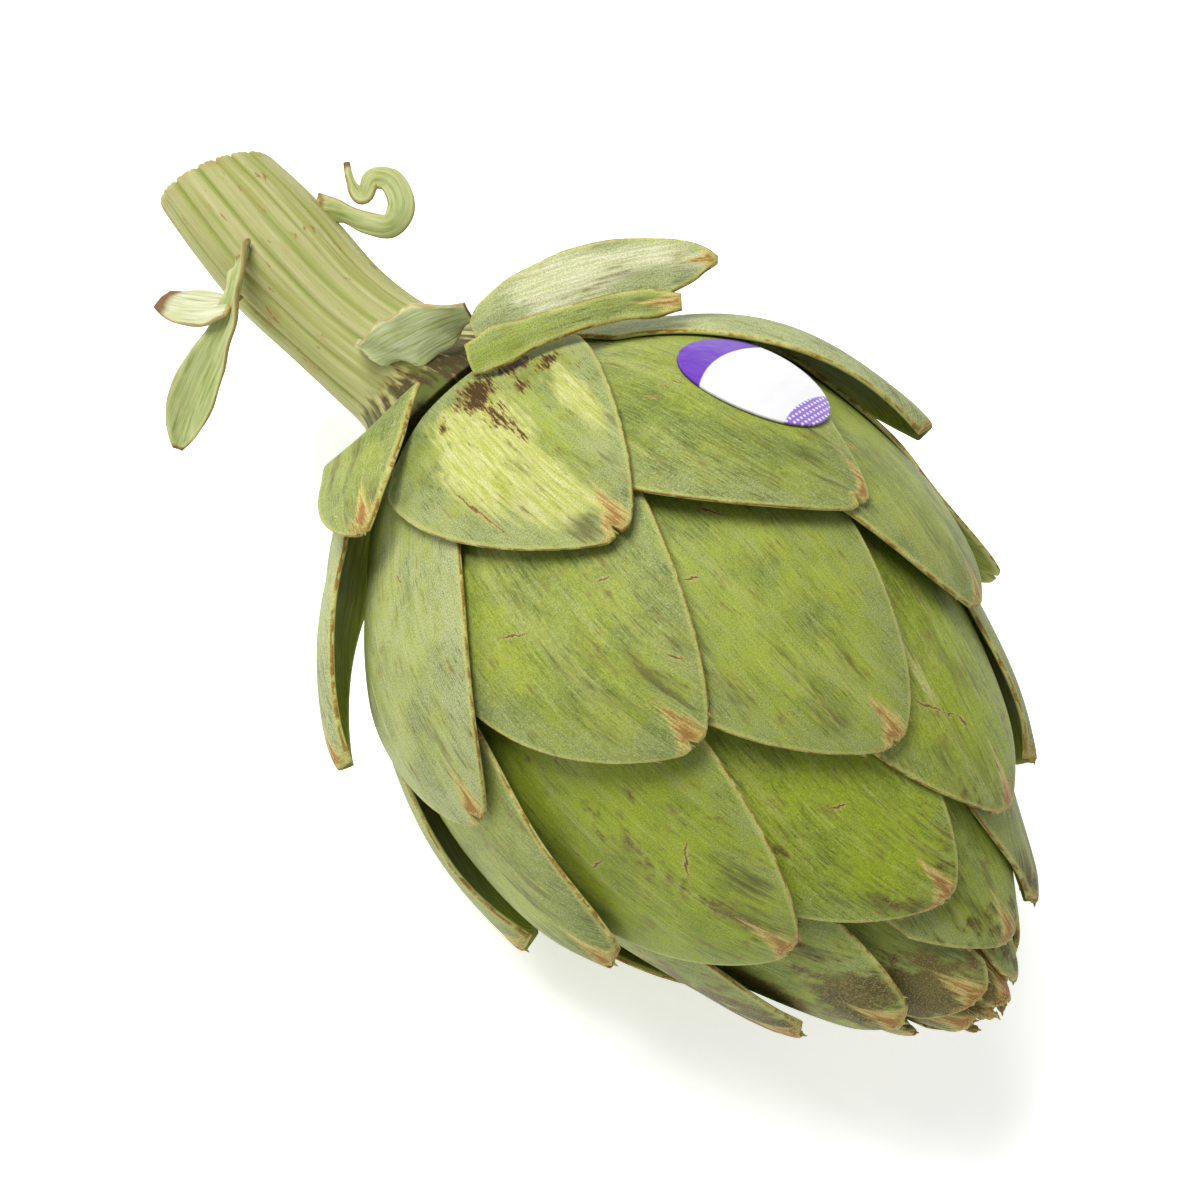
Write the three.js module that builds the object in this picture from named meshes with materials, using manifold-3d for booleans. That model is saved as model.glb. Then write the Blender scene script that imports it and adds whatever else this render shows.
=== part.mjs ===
// A globe artichoke, picked with a short length of stem and lying on its side.
// Millimetres, +Z up. The stem points towards -X and the tip of the bud towards +X.
//
// The bud is described in its own frame: z runs up its axis from the stem to the tip, and azimuths
// turn round that axis. Every bract follows one rule: the golden angle turns each one from the one
// before, its tip sits a little further up the bud, and it dips under the older bracts towards its root.
import * as THREE from "three";
import { mergeVertices } from "three/addons/utils/BufferGeometryUtils.js";
import Module from "manifold-3d";

const wasm = await Module();
wasm.setup();

// ---- driving dimensions ----
const BUD = { length: 139, radius: 48.5, rise: 0.64, fall: 0.85 }; // egg-shaped outline
const SWELLING = { height: 4, along: 52, reach: 21, azimuth: -88, spread: 36 }; // the bud is fuller here
const POSE = { tilt: 0.29, up: -23.33, axisHeight: 46.0 }; // how the bud lies; three bracts touch the ground
const FLOOR_CUT = 400; // size of the block that flattens those bracts where they touch
const SPIRAL = { turn: 137.5, start: -2, firstTip: 78, lastTip: 177, steps: 38 }; // azimuths and tips
const OLDEST = -6; // index of the outermost bract
const YOUNGEST = 34; // index of the innermost bract that is a piece of its own
const HEART_TIPS = 37; // younger bracts, up to this index, stay joined to the heart
const BRACT = {
  halfWidth: 21.8,
  widthReach: 40, // distance from the tip where a bract is widest
  widthPower: 0.8,
  tipHalfWidth: 1.8,
  steps: 16, // spiral steps from tip to root
  middle: 1.15, // thickness along the midrib
  margin: 0.8, // thickness at the edges
  notch: 1.6, // depth of the cleft in the tip
  lean: 3.5, // how far the tip leans out of the midline
  leanReach: 26,
  hug: 0.3, // how far the margins bend in
  liftReach: 26,
  cup: 0.8, // share of its lift that a margin goes without
};
const LAYER = { step: 0.58, flatSteps: 6, topFlatSteps: 2.4, thinFrom: 10, thinTo: 24, baseSteps: 3 };
const WIDEST_AZIMUTH = 40; // half of the widest azimuth that a bract near the tip may span
const ROOT_LOW = 25; // no bract starts closer to the stem than this, along the outline
const ROWS = 10;
const COLS = 6;

// What sets single bracts apart from the rule, by index: turn and skew turn or lean the tip (degrees,
// mm), up moves the tip along the outline (mm), lift raises it off the bud (mm) over liftReach (mm), wide
// scales its width and reach is where it is widest, cup is the share of the lift that the margins go
// without, root is where the root lies along the outline (mm), rootTurn turns the root against the tip,
// base is the length over which the root end rounds off (mm), and twist raises one margin (degrees).
const OWN = {
  "-5": {
    turn: 12, up: -10, lift: 2, liftReach: 16, cup: 0.1,
    wide: 0.36, reach: 14, root: 22, rootTurn: -11, twist: 20,
  },
  "-2": { lift: 6, liftReach: 120, cup: 0.35, wide: 0.82 },
  0: { turn: 1.5, up: -0.5, wide: 0.94, root: 27, base: 12 },
  2: { lift: 4.6, liftReach: 46, cup: 0.55 },
  3: { up: 2, skew: 6 },
  5: { up: -4, skew: -5 },
  6: { up: 3, lift: 5, liftReach: 70, cup: 0.6 },
  7: { turn: 8, lift: 8, liftReach: 17, cup: 0 },
  8: { turn: -4, up: -3 },
  10: { turn: 2, up: -2.5, skew: 3 },
  11: { up: -1.5, lift: 2.5 },
  13: { turn: -3, up: -3 },
  15: { up: 2.5, lift: 2.5 },
  16: { up: 1, skew: 1.5 },
  19: { up: 2, lift: 2 },
  21: { turn: -6, up: -2.5, skew: -2 },
  23: { turn: -2, up: 2, lift: 1.5 },
  24: { turn: 3, up: 1.5, lift: 1.5 },
  26: { turn: -3 },
  29: { turn: 2, up: 0.5 },
};

// Two small bracts at the base lie across the bud instead. Each stop of their paths: along the outline,
// azimuth, height over the outline, half width.
const LEANING = {
  "-6": [
    [31, -9, -0.6, 3],
    [35, -17, 0.6, 4.2],
    [36.8, -26.5, 0.2, 2.8],
    [40.2, -36, 0.6, 2.3],
    [44, -45, 1, 2.5],
    [47.8, -50.5, 1, 2.4],
    [50.5, -54, 1.2, 1.4],
  ],
  "-3": [
    [24, -21, 0.6, 1.6],
    [28, -29, 1.6, 3.2],
    [33, -37.5, 2.2, 4.4],
    [39.5, -46.5, 4, 4.8],
    [44.5, -56.5, 4.6, 3.8],
    [49, -61, 5.8, 2.2],
    [51.5, -62, 6.4, 0.6],
  ],
};

// ---- the bud's outline ----
const { lerp, clamp, degToRad, radToDeg } = THREE.MathUtils;
const WIDEST = BUD.rise / (BUD.rise + BUD.fall);

function budRadius(z) {
  const x = clamp(z / BUD.length, 0, 1);
  return BUD.radius * (x / WIDEST) ** BUD.rise * ((1 - x) / (1 - WIDEST)) ** BUD.fall;
}

// Distances along the outline from the stem, against heights up the axis.
const OUTLINE_STEPS = 1500;
const outline = [{ along: 0, z: 0 }];
for (let k = 1; k <= OUTLINE_STEPS; k++) {
  const s = k / OUTLINE_STEPS;
  const z = BUD.length * s * s * (3 - 2 * s);
  const last = outline[k - 1];
  outline.push({ along: last.along + Math.hypot(z - last.z, budRadius(z) - budRadius(last.z)), z });
}
const OUTLINE_LENGTH = outline[OUTLINE_STEPS].along;

// A point of the outline: its height, its radius and its outward normal in the plane of the axis.
function outlineAt(along) {
  let low = 0;
  let high = OUTLINE_STEPS;
  while (high - low > 1) {
    const middle = (low + high) >> 1;
    if (outline[middle].along < along) low = middle;
    else high = middle;
  }
  const share = (along - outline[low].along) / (outline[high].along - outline[low].along);
  const z = lerp(outline[low].z, outline[high].z, clamp(share, 0, 1));
  const x = clamp(z / BUD.length, 1e-5, 1 - 1e-5);
  const radius = budRadius(z);
  const slope = (radius * (BUD.rise / x - BUD.fall / (1 - x))) / BUD.length;
  const size = Math.hypot(1, slope);
  return { z, radius, normalZ: -slope / size, normalR: 1 / size };
}

// How far the bud swells past its outline, which is the same all round otherwise.
function swelling(along, azimuth) {
  const aside = ((((azimuth - SWELLING.azimuth) % 360) + 540) % 360) - 180;
  const x = (along - SWELLING.along) / SWELLING.reach;
  const y = aside / SWELLING.spread;
  return SWELLING.height * Math.exp(-x * x - y * y);
}

// The point at a distance along the outline, an azimuth in degrees and a height over the outline.
function budPoint(along, azimuth, height) {
  const { z, radius, normalZ, normalR } = outlineAt(along);
  const r = Math.max(radius + height * normalR, 0.05) + swelling(along, azimuth);
  const a = degToRad(azimuth);
  return new THREE.Vector3(r * Math.cos(a), r * Math.sin(a), z + height * normalZ);
}

// ---- the rule of the bracts ----
const SPIRAL_RADIANS = Math.PI / 2 / SPIRAL.steps;
const SPIRAL_REACH = SPIRAL.lastTip - SPIRAL.firstTip;
const tipAlong = (index) => SPIRAL.firstTip + SPIRAL_REACH * Math.sin(index * SPIRAL_RADIANS);

// The index of the bract whose tip would lie so far along the outline.
function stepAt(along) {
  const step = Math.asin(clamp((along - SPIRAL.firstTip) / SPIRAL_REACH, -1, 1)) / SPIRAL_RADIANS;
  return Math.max(step, OLDEST - LAYER.baseSteps);
}

// Depth under the outline, so many spiral steps back from the tip: level at the tip, then a steady dip.
function layerDepth(index, steps) {
  const thin = clamp((index - LAYER.thinFrom) / (LAYER.thinTo - LAYER.thinFrom), 0, 1);
  const flat = lerp(LAYER.flatSteps, LAYER.topFlatSteps, thin);
  const n = Math.max(steps, 0);
  return LAYER.step * (n < flat ? (n * n) / (2 * flat) : n - flat / 2);
}

// Half the width of a bract, so far back from its tip.
function halfWidth(back, reach) {
  const x = clamp(back / reach, 0, 1);
  return BRACT.tipHalfWidth + (BRACT.halfWidth - BRACT.tipHalfWidth) * (1 - (1 - x) ** 2) ** BRACT.widthPower;
}

// One bract: point(back, across, under) gives its surface, back from the tip in mm, across from -1 to 1,
// and under the upper face by a share of the thickness.
const TWIST_REACH = 7; // a twist sets in over this distance from the root
const PLAIN = {
  turn: 0,
  up: 0,
  lift: 0,
  wide: 1,
  reach: BRACT.widthReach,
  skew: 0,
  liftReach: BRACT.liftReach,
  cup: BRACT.cup,
  rootTurn: 0,
  base: 0,
  twist: 0,
};

function bract(index, rootSteps = BRACT.steps) {
  const own = { ...PLAIN, ...OWN[index] };
  const tip = tipAlong(index) + own.up;
  const root = own.root ?? Math.max(tipAlong(index - rootSteps), ROOT_LOW);
  const azimuth = SPIRAL.start + own.turn + SPIRAL.turn * index;
  const length = tip - root;
  const heightAt = (along, across) => {
    const near = clamp(1 - (tip - along) / own.liftReach, 0, 1) ** 2;
    const depth = layerDepth(index, index - stepAt(along - own.up));
    return own.lift * near * (1 - own.cup * across * across) - depth - BRACT.hug * across * across;
  };
  const point = (back, across, under) => {
    const leaning = clamp(1 - back / BRACT.leanReach, 0, 1) ** 2;
    const notched = BRACT.notch * clamp(1 - 3 * Math.abs(across), 0, 1) * clamp(1 - back / 6, 0, 1);
    const along = tip - back - notched;
    const thickness = lerp(BRACT.middle, BRACT.margin, across * across);
    const { radius, normalR } = outlineAt(along);
    const ring = Math.max(radius + heightAt(along, across) * normalR, 1);
    const widest = degToRad(WIDEST_AZIMUTH) * ring;
    const closing = clamp(1 - (length - back) / Math.max(own.base, 0.1), 0, 1);
    const rounded = Math.sqrt(1 - 0.96 * closing * closing);
    const half = Math.min(halfWidth(back, own.reach) * own.wide, widest) * rounded;
    const raised = Math.sin(degToRad(Math.abs(own.twist))) * half * (1 + Math.sign(own.twist) * across);
    const height = heightAt(along, across) + raised * Math.min((length - back) / TWIST_REACH, 1);
    const sideways = across * half - (BRACT.lean - own.skew) * leaning;
    const turned = radToDeg(clamp(sideways / ring, -1, 1)) + own.rootTurn * (back / length) ** 2;
    return budPoint(along, azimuth + turned, height - under * thickness);
  };
  return { length, azimuth, heightAt, point };
}

// ---- closed meshes ----
// A blade: a grid of rows and columns for the upper face, the same grid for the lower face, split into
// triangles alike, and the rim between them. point(row, across, under) runs over 0..1, -1..1 and 0..1.
function blade(rows, cols, point) {
  const positions = [];
  for (const under of [0, 1])
    for (let row = 0; row <= rows; row++)
      for (let col = 0; col <= cols; col++)
        positions.push(...point(row / rows, (2 * col) / cols - 1, under).toArray());
  const at = (row, col, under) => (under * (rows + 1) + row) * (cols + 1) + col;
  const index = [];
  const quad = (a, b, c, d) => index.push(a, b, c, a, c, d);
  for (let row = 0; row < rows; row++)
    for (let col = 0; col < cols; col++) {
      const next = row + 1;
      const face = (u) => [at(row, col, u), at(row, col + 1, u), at(next, col + 1, u), at(next, col, u)];
      const [a, b, c, d] = face(0);
      const [e, f, g, h] = face(1);
      quad(a, b, c, d);
      index.push(e, g, f, e, h, g);
    }
  for (let row = 0; row < rows; row++) {
    quad(at(row, 0, 0), at(row + 1, 0, 0), at(row + 1, 0, 1), at(row, 0, 1));
    quad(at(row, cols, 0), at(row, cols, 1), at(row + 1, cols, 1), at(row + 1, cols, 0));
  }
  for (let col = 0; col < cols; col++) {
    quad(at(0, col, 0), at(0, col, 1), at(0, col + 1, 1), at(0, col + 1, 0));
    quad(at(rows, col, 0), at(rows, col + 1, 0), at(rows, col + 1, 1), at(rows, col, 1));
  }
  return facingOut(positions, index);
}

// A rod: rings of points, closed by a fan at each end. point(row, azimuth) gives a ring's points.
function rod(rows, sides, point) {
  const positions = [];
  for (let row = 0; row <= rows; row++)
    for (let side = 0; side < sides; side++) positions.push(...point(row / rows, side / sides).toArray());
  const centre = (row) => {
    const sum = new THREE.Vector3();
    for (let side = 0; side < sides; side++)
      sum.add(new THREE.Vector3().fromArray(positions, (row * sides + side) * 3));
    return sum.divideScalar(sides);
  };
  positions.push(...centre(0).toArray(), ...centre(rows).toArray());
  const first = (rows + 1) * sides;
  const index = [];
  for (let side = 0; side < sides; side++) {
    const next = (side + 1) % sides;
    for (let row = 0; row < rows; row++) {
      const [a, b] = [row * sides + side, row * sides + next];
      index.push(a, b, b + sides, a, b + sides, a + sides);
    }
    index.push(first, next, side, first + 1, rows * sides + side, rows * sides + next);
  }
  return facingOut(positions, index);
}

// An indexed geometry whose faces point outwards.
function facingOut(positions, index) {
  let volume = 0;
  const corner = [0, 1, 2].map(() => new THREE.Vector3());
  for (let i = 0; i < index.length; i += 3) {
    corner.forEach((v, k) => v.fromArray(positions, index[i + k] * 3));
    volume += corner[0].dot(corner[1].clone().cross(corner[2]));
  }
  if (volume < 0)
    for (let i = 0; i < index.length; i += 3) [index[i], index[i + 1]] = [index[i + 1], index[i]];
  return new THREE.BufferGeometry()
    .setAttribute("position", new THREE.Float32BufferAttribute(positions, 3))
    .setIndex(index);
}

// Geometry to a solid and back, for joining and cutting.
const toSolid = (geometry) =>
  new wasm.Manifold(
    new wasm.Mesh({
      numProp: 3,
      vertProperties: new Float32Array(geometry.attributes.position.array),
      triVerts: new Uint32Array(geometry.index.array),
    }),
  );

function toGeometry(solid) {
  const mesh = solid.getMesh();
  return new THREE.BufferGeometry()
    .setAttribute("position", new THREE.BufferAttribute(mesh.vertProperties, 3))
    .setIndex(new THREE.BufferAttribute(mesh.triVerts, 1));
}

// ---- the pieces ----
const ROW_CROWDING = 1.6; // rows crowd towards the tip, where the outline bends most
const LEANING_BLADE = { rows: 14, cols: COLS, thickness: 1, fold: -0.15 };

const bractGeometry = (index, rootSteps) => {
  if (LEANING[index]) return ribbonGeometry(LEANING[index].map(onBud), LEANING_BLADE);
  const { length, point } = bract(index, rootSteps);
  return blade(ROWS, COLS, (row, across, under) => point(length * row ** ROW_CROWDING, across, under));
};

// The heart: the fleshy base and the young bracts packed on it, closed at the tip by the youngest ones.
const HEART = { floor: 12, from: 26, to: 166, depth: 10.9, rows: 10, sides: 24, extraSteps: 4 };

function heartGeometry() {
  const core = rod(HEART.rows, HEART.sides, (row, side) => {
    const p = budPoint(lerp(HEART.from, HEART.to, row), 360 * side, -HEART.depth);
    return p.setZ(Math.max(p.z, HEART.floor));
  });
  let solid = toSolid(core);
  for (let index = YOUNGEST + 1; index <= HEART_TIPS; index++)
    solid = solid.add(toSolid(bractGeometry(index, BRACT.steps + HEART.extraSteps)));
  return toGeometry(solid);
}

// The stem: a ribbed stub, sitting a little to one side of the bud's axis, cut off at a slant. It widens
// under the bracts into the base that carries them.
const STEM = { ribs: 16, perRib: 3, rib: 0.55, rows: 12, end: -45.8, slant: -0.29, top: 11.7 };
// Along the stem: height, how far its middle lies to the side, and its radius.
const STEM_RINGS = [
  { z: -45.8, side: 7.4, radius: 9.4 },
  { z: -38, side: 7.4, radius: 10.2 },
  { z: -27, side: 7.2, radius: 10.7 },
  { z: -14, side: 6.3, radius: 10.1 },
  { z: -4, side: 4.5, radius: 10.8 },
  { z: 3, side: 2.2, radius: 12.6 },
  { z: 8, side: 0.6, radius: 16 },
  { z: 11.7, side: 0, radius: 18 },
];

// A smooth run of values through the listed ones.
function through(values, t) {
  const curve = new THREE.CatmullRomCurve3(values.map((v) => new THREE.Vector3(...v)));
  return curve.getPoint(clamp(t, 0, 1));
}

function stemGeometry() {
  const sides = STEM.ribs * STEM.perRib;
  const rings = STEM_RINGS.map(({ z, side, radius }) => [z, side, radius]);
  return rod(STEM.rows, sides, (row, turn) => {
    const ring = through(rings, row);
    const azimuth = 2 * Math.PI * turn;
    const faded = clamp((STEM.top - ring.x) / 14, 0, 1);
    const groove = Math.cos(STEM.ribs * azimuth) < -0.4 ? STEM.rib * faded : 0;
    const radius = ring.z - groove;
    const y = ring.y + radius * Math.sin(azimuth);
    const nearEnd = clamp(1 - (ring.x - STEM.end) / 12, 0, 1);
    return new THREE.Vector3(
      radius * Math.cos(azimuth),
      y,
      ring.x + STEM.slant * (y - ring.y) * nearEnd + groove * nearEnd,
    );
  });
}

const TOWARDS_SIDE = new THREE.Vector3(1, 0, 0); // the side of the bud that an untwisted leaf faces

// A stop of a leaf's path, from its place on the bud.
const onBud = ([along, azimuth, height, half]) => [...budPoint(along, azimuth, height).toArray(), half];

// A curled leaf: a blade along a path. Each stop of the path is [x, y, z, half width, twist in degrees];
// fold bends both halves up about the midrib.
function ribbonGeometry(stops, { rows, cols, thickness, fold = 0, wave = 0 }) {
  const path = new THREE.CatmullRomCurve3(stops.map(([x, y, z]) => new THREE.Vector3(x, y, z)));
  const rest = stops.map((stop) => [stop[3], stop[4] ?? 0, 0]);
  const at = (row) => {
    const centre = path.getPoint(row);
    const tangent = path.getTangent(row);
    const { x: half, y: twist } = through(rest, row);
    const wide = TOWARDS_SIDE.clone().cross(tangent).normalize().applyAxisAngle(tangent, degToRad(twist));
    return { centre, half, wide, normal: tangent.clone().cross(wide) };
  };
  return blade(rows, cols, (row, across, under) => {
    const { centre, half, wide, normal } = at(row);
    const raised =
      fold * half * Math.abs(across) + wave * across * Math.sin(row * 9) - (under - 0.5) * thickness;
    return centre.addScaledVector(wide, across * half).addScaledVector(normal, raised);
  });
}

// The short wavy leaf at the base of the bud.
const BASE_LEAF = [
  [14.4, 5.6, -0.4, 2.2, 62],
  [16.6, 2.2, 1.2, 4.2, 60],
  [19, -1.8, 3, 4.6, 58],
  [20.8, -5.8, 4.2, 4, 55],
  [22, -9.6, 5, 2, 50],
];
// The hooked leaf on one side of the stem.
const STEM_LEAF_1 = [
  [3, -5.2, -27, 1.6, 30],
  [4, -6.2, -22, 1.8, 20],
  [4.5, -9.4, -18.6, 2, 15],
  [5, -12.8, -19.8, 2.2, 10],
  [5, -14.2, -24.4, 2.1, 10],
  [5, -12, -26.6, 1.9, 15],
  [4.5, -9.2, -25.4, 1.5, 30],
  [4, -9.2, -28.4, 0.9, 40],
  [4, -10.8, -31.8, 0.5, 40],
];
// The drooping leaf on the other side, and the lobe that curls back from it.
const STEM_LEAF_2 = [
  [13, 11.6, -27, 1.8, 60],
  [12.2, 15.6, -24, 2.4, 50],
  [9.4, 20.6, -21.6, 2.6, 30],
  [7, 26, -20, 3.2, 10],
  [4.4, 32, -18, 4, 5],
  [2, 37, -16, 3, 5],
  [1, 39.8, -14.4, 0.8, 5],
];
const STEM_LOBE = [
  [10.4, 18, -23.6, 2.6, 70],
  [9, 20.6, -26.2, 3.4, 60],
  [7.4, 24, -30.4, 3.2, 50],
  [6.4, 26, -33.8, 1.8, 60],
];

// The sticker: a thin oval that follows the bract under it.
const STICKER = { bract: 5, height: 44.4, azimuth: -49.4, slant: -4 }; // degrees, mm up the axis
const FILM = { long: 12.8, wide: 9.7, clear: 0.35, thickness: 0.6 }; // half length and half width

function stickerGeometry() {
  const { azimuth, heightAt } = bract(STICKER.bract);
  const middle = outline.find(({ z }) => z >= STICKER.height).along;
  return blade(10, 6, (row, across, under) => {
    const turn = Math.PI * lerp(0.06, 0.94, row);
    const forward = -FILM.long * Math.cos(turn);
    const sideways = FILM.wide * Math.sin(turn) * across;
    const slant = degToRad(STICKER.slant);
    const along = middle + forward * Math.cos(slant) - sideways * Math.sin(slant);
    const round = forward * Math.sin(slant) + sideways * Math.cos(slant);
    const { radius } = outlineAt(along);
    const turned = STICKER.azimuth + radToDeg(round / radius);
    const offset = (((turned - azimuth) % 360) + 540) % 360 - 180;
    const over = offset * degToRad(radius / BRACT.halfWidth);
    const above = FILM.clear + (1 - under) * FILM.thickness;
    return budPoint(along, turned, heightAt(along, over) + above);
  });
}

// ---- putting the pieces together ----
const green = new THREE.MeshStandardMaterial({ color: 0x8a9f55, roughness: 0.62, metalness: 0 });
const pale = new THREE.MeshStandardMaterial({ color: 0xb9bf8a, roughness: 0.7, metalness: 0 });
const fresh = new THREE.MeshStandardMaterial({ color: 0x9db36a, roughness: 0.6, metalness: 0 });
const flesh = new THREE.MeshStandardMaterial({ color: 0xa8a86a, roughness: 0.75, metalness: 0 });
const film = new THREE.MeshStandardMaterial({ color: 0x5a2ea0, roughness: 0.3, metalness: 0 });

// The bud's frame laid on its side: its axis along +X, the azimuth POSE.up upwards.
const lie = new THREE.Matrix4()
  .makeTranslation(0, 0, POSE.axisHeight)
  .multiply(new THREE.Matrix4().makeRotationY(degToRad(POSE.tilt)))
  .multiply(
    new THREE.Matrix4().makeBasis(
      new THREE.Vector3(0, 0, 1),
      new THREE.Vector3(0, -1, 0),
      new THREE.Vector3(1, 0, 0),
    ),
  )
  .multiply(new THREE.Matrix4().makeRotationZ(degToRad(-POSE.up)));

const floor = new THREE.BoxGeometry(FLOOR_CUT, FLOOR_CUT, FLOOR_CUT);
floor.deleteAttribute("normal").deleteAttribute("uv");
const ground = toSolid(mergeVertices(floor)).translate([0, 0, -FLOOR_CUT / 2]);

const artichoke = new THREE.Group();
const bounds = new THREE.Box3();

function piece(name, geometry, material) {
  let laid = geometry.applyMatrix4(lie);
  laid.computeBoundingBox();
  if (laid.boundingBox.min.z < 0) {
    laid = toGeometry(toSolid(laid).subtract(ground));
    laid.computeBoundingBox();
  }
  bounds.union(laid.boundingBox);
  const mesh = new THREE.Mesh(laid, material);
  mesh.name = name;
  artichoke.add(mesh);
}

for (let index = OLDEST; index <= YOUNGEST; index++) {
  const number = String(index - OLDEST + 1).padStart(2, "0");
  piece(`bract_${number}`, bractGeometry(index), green);
}
piece("heart", heartGeometry(), flesh);
piece("stem", stemGeometry(), pale);
const LEAF = { rows: 14, cols: 4, thickness: 0.9 };
piece("base_leaf", ribbonGeometry(BASE_LEAF, { ...LEAF, rows: 10, thickness: 1, wave: 0.8 }), fresh);
piece("stem_leaf_1", ribbonGeometry(STEM_LEAF_1, { ...LEAF, rows: 20, fold: -0.25 }), fresh);
const drooping = toSolid(ribbonGeometry(STEM_LEAF_2, { ...LEAF, rows: 16, fold: 0.35 }));
const lobe = toSolid(ribbonGeometry(STEM_LOBE, { ...LEAF, rows: 8, fold: -0.2 }));
piece("stem_leaf_2", toGeometry(drooping.add(lobe)), fresh);
piece("sticker", stickerGeometry(), film);

// The origin is under the middle of the whole, on the ground.
const middle = bounds.getCenter(new THREE.Vector3());
for (const mesh of artichoke.children) mesh.geometry.translate(-middle.x, -middle.y, 0);

export default artichoke;
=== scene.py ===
"""A globe artichoke, picked with a short length of stem and lying on its side.

The bud is laid out in millimetres in its own frame: z runs up its axis from the stem to the tip, and
azimuths turn round that axis. laid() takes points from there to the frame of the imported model, in metres.
"""

import math

import bpy
import numpy as np
from mathutils import Matrix, Vector


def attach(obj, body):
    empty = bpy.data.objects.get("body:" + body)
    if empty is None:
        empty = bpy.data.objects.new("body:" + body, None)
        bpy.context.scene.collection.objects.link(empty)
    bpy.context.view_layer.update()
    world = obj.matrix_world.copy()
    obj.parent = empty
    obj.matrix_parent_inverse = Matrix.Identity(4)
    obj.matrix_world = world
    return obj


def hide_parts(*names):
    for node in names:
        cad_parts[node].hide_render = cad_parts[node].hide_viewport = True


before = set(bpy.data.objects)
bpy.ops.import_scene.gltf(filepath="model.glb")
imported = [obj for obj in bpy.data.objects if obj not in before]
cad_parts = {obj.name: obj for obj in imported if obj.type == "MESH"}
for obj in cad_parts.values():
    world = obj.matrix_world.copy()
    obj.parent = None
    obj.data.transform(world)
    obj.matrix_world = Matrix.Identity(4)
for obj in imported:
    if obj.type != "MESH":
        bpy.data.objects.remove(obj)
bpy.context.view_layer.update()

MM = 0.001  # lengths below are in millimetres unless they say otherwise, angles in degrees

# ---- the bud's driving dimensions, mm ----
BUD_LENGTH = 139
BUD_RADIUS = 48.5
BUD_RISE, BUD_FALL = 0.64, 0.85
SWELLING = dict(height=4, along=52, reach=21, azimuth=-88, spread=36)  # the bud is fuller here
WIDEST = BUD_RISE / (BUD_RISE + BUD_FALL)
BUD_AT = Vector((-44.4328, -0.4867, 46.0))
LEAN_BACK = 0.29
ROLL = -23.33

# ---- the rule of the bracts: index 0 has its tip at FIRST_AZIMUTH and FIRST_TIP along the outline ----
GOLDEN_TURN = 137.5
FIRST_AZIMUTH = -2
FIRST_TIP, LAST_TIP, TIP_STEPS = 78, 177, 38
OLDEST, YOUNGEST, HEART_TIPS = -6, 34, 37

HALF_WIDTH, WIDTH_REACH, WIDTH_POWER, TIP_HALF_WIDTH = 21.8, 40, 0.8, 1.8
ROOT_STEPS, ROOT_LOW, WIDEST_AZIMUTH = 16, 25, 40
MIDDLE_THICK, MARGIN_THICK = 1.15, 0.8
NOTCH = 1.6
TIP_LEAN, LEAN_REACH = 3.5, 26
HUG, LIFT_REACH, CUP = 0.3, 26, 0.8
LAYER_STEP = 0.58  # how much deeper a bract lies for each one over it, after the first few
FLAT_STEPS, TOP_FLAT_STEPS, THIN_FROM, THIN_TO = 6, 2.4, 10, 24  # the first few are fewer from bract 10 to 24
BASE_STEPS = 3  # the layers end so many bracts before the oldest
TWIST_REACH = 7
RIB_HEIGHT, RIB_WIDTH, RIB_REACH = 0.28, 1.1, 17
WAVE = 0.18
POINT_LENGTH, POINT_FROM, POINT_STEPS = 1.5, 4, 14  # the point of a tip, longer from bract 4 to 18
SPINE_LENGTH, SPINE_RADIUS, SPINE_SIDES = 1.5, 0.42, 10  # small spines round the tips
YOUNG_FROM = 7
MARK_DICE, SPINE_DICE = 60, 300  # where the random draws of the marks and spines start

# What sets single bracts apart from the rule, by index: its turn round the bud, how far its tip is moved up
# and lifted off the bud, over lift_reach (a high cup keeps its margins down), how wide it is and over which
# reach it widens, how its tip is skewed, where its root is and how that is turned, its twist, and the base
# over which it narrows.
OWN = {
    -5: dict(turn=12, up=-10, lift=2, lift_reach=16, cup=0.1,
             wide=0.36, reach=14, root=22, root_turn=-11, twist=20),
    -2: dict(lift=6, lift_reach=120, cup=0.35, wide=0.82),
    0: dict(turn=1.5, up=-0.5, wide=0.94, root=27, base=12),
    2: dict(lift=4.6, lift_reach=46, cup=0.55),
    3: dict(up=2, skew=6),
    5: dict(up=-4, skew=-5),
    6: dict(up=3, lift=5, lift_reach=70, cup=0.6),
    7: dict(turn=8, lift=8, lift_reach=17, cup=0),
    8: dict(turn=-4, up=-3),
    10: dict(turn=2, up=-2.5, skew=3),
    11: dict(up=-1.5, lift=2.5),
    13: dict(turn=-3, up=-3),
    15: dict(up=2.5, lift=2.5),
    16: dict(up=1, skew=1.5),
    19: dict(up=2, lift=2),
    21: dict(turn=-6, up=-2.5, skew=-2),
    23: dict(turn=-2, up=2, lift=1.5),
    24: dict(turn=3, up=1.5, lift=1.5),
    26: dict(turn=-3),
    29: dict(turn=2, up=0.5),
}
PLAIN = dict(
    turn=0, up=0, lift=0, wide=1, reach=WIDTH_REACH, skew=0, lift_reach=LIFT_REACH, cup=CUP,
    root=None, root_turn=0, twist=0, base=0,
)


# ---- the bud's outline ----
def bud_radius(z):
    """Radius of the bud at a height, widest where z is WIDEST of its length."""
    x = np.clip(z / BUD_LENGTH, 0, 1)
    return BUD_RADIUS * (x / WIDEST) ** BUD_RISE * ((1 - x) / (1 - WIDEST)) ** BUD_FALL


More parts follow.
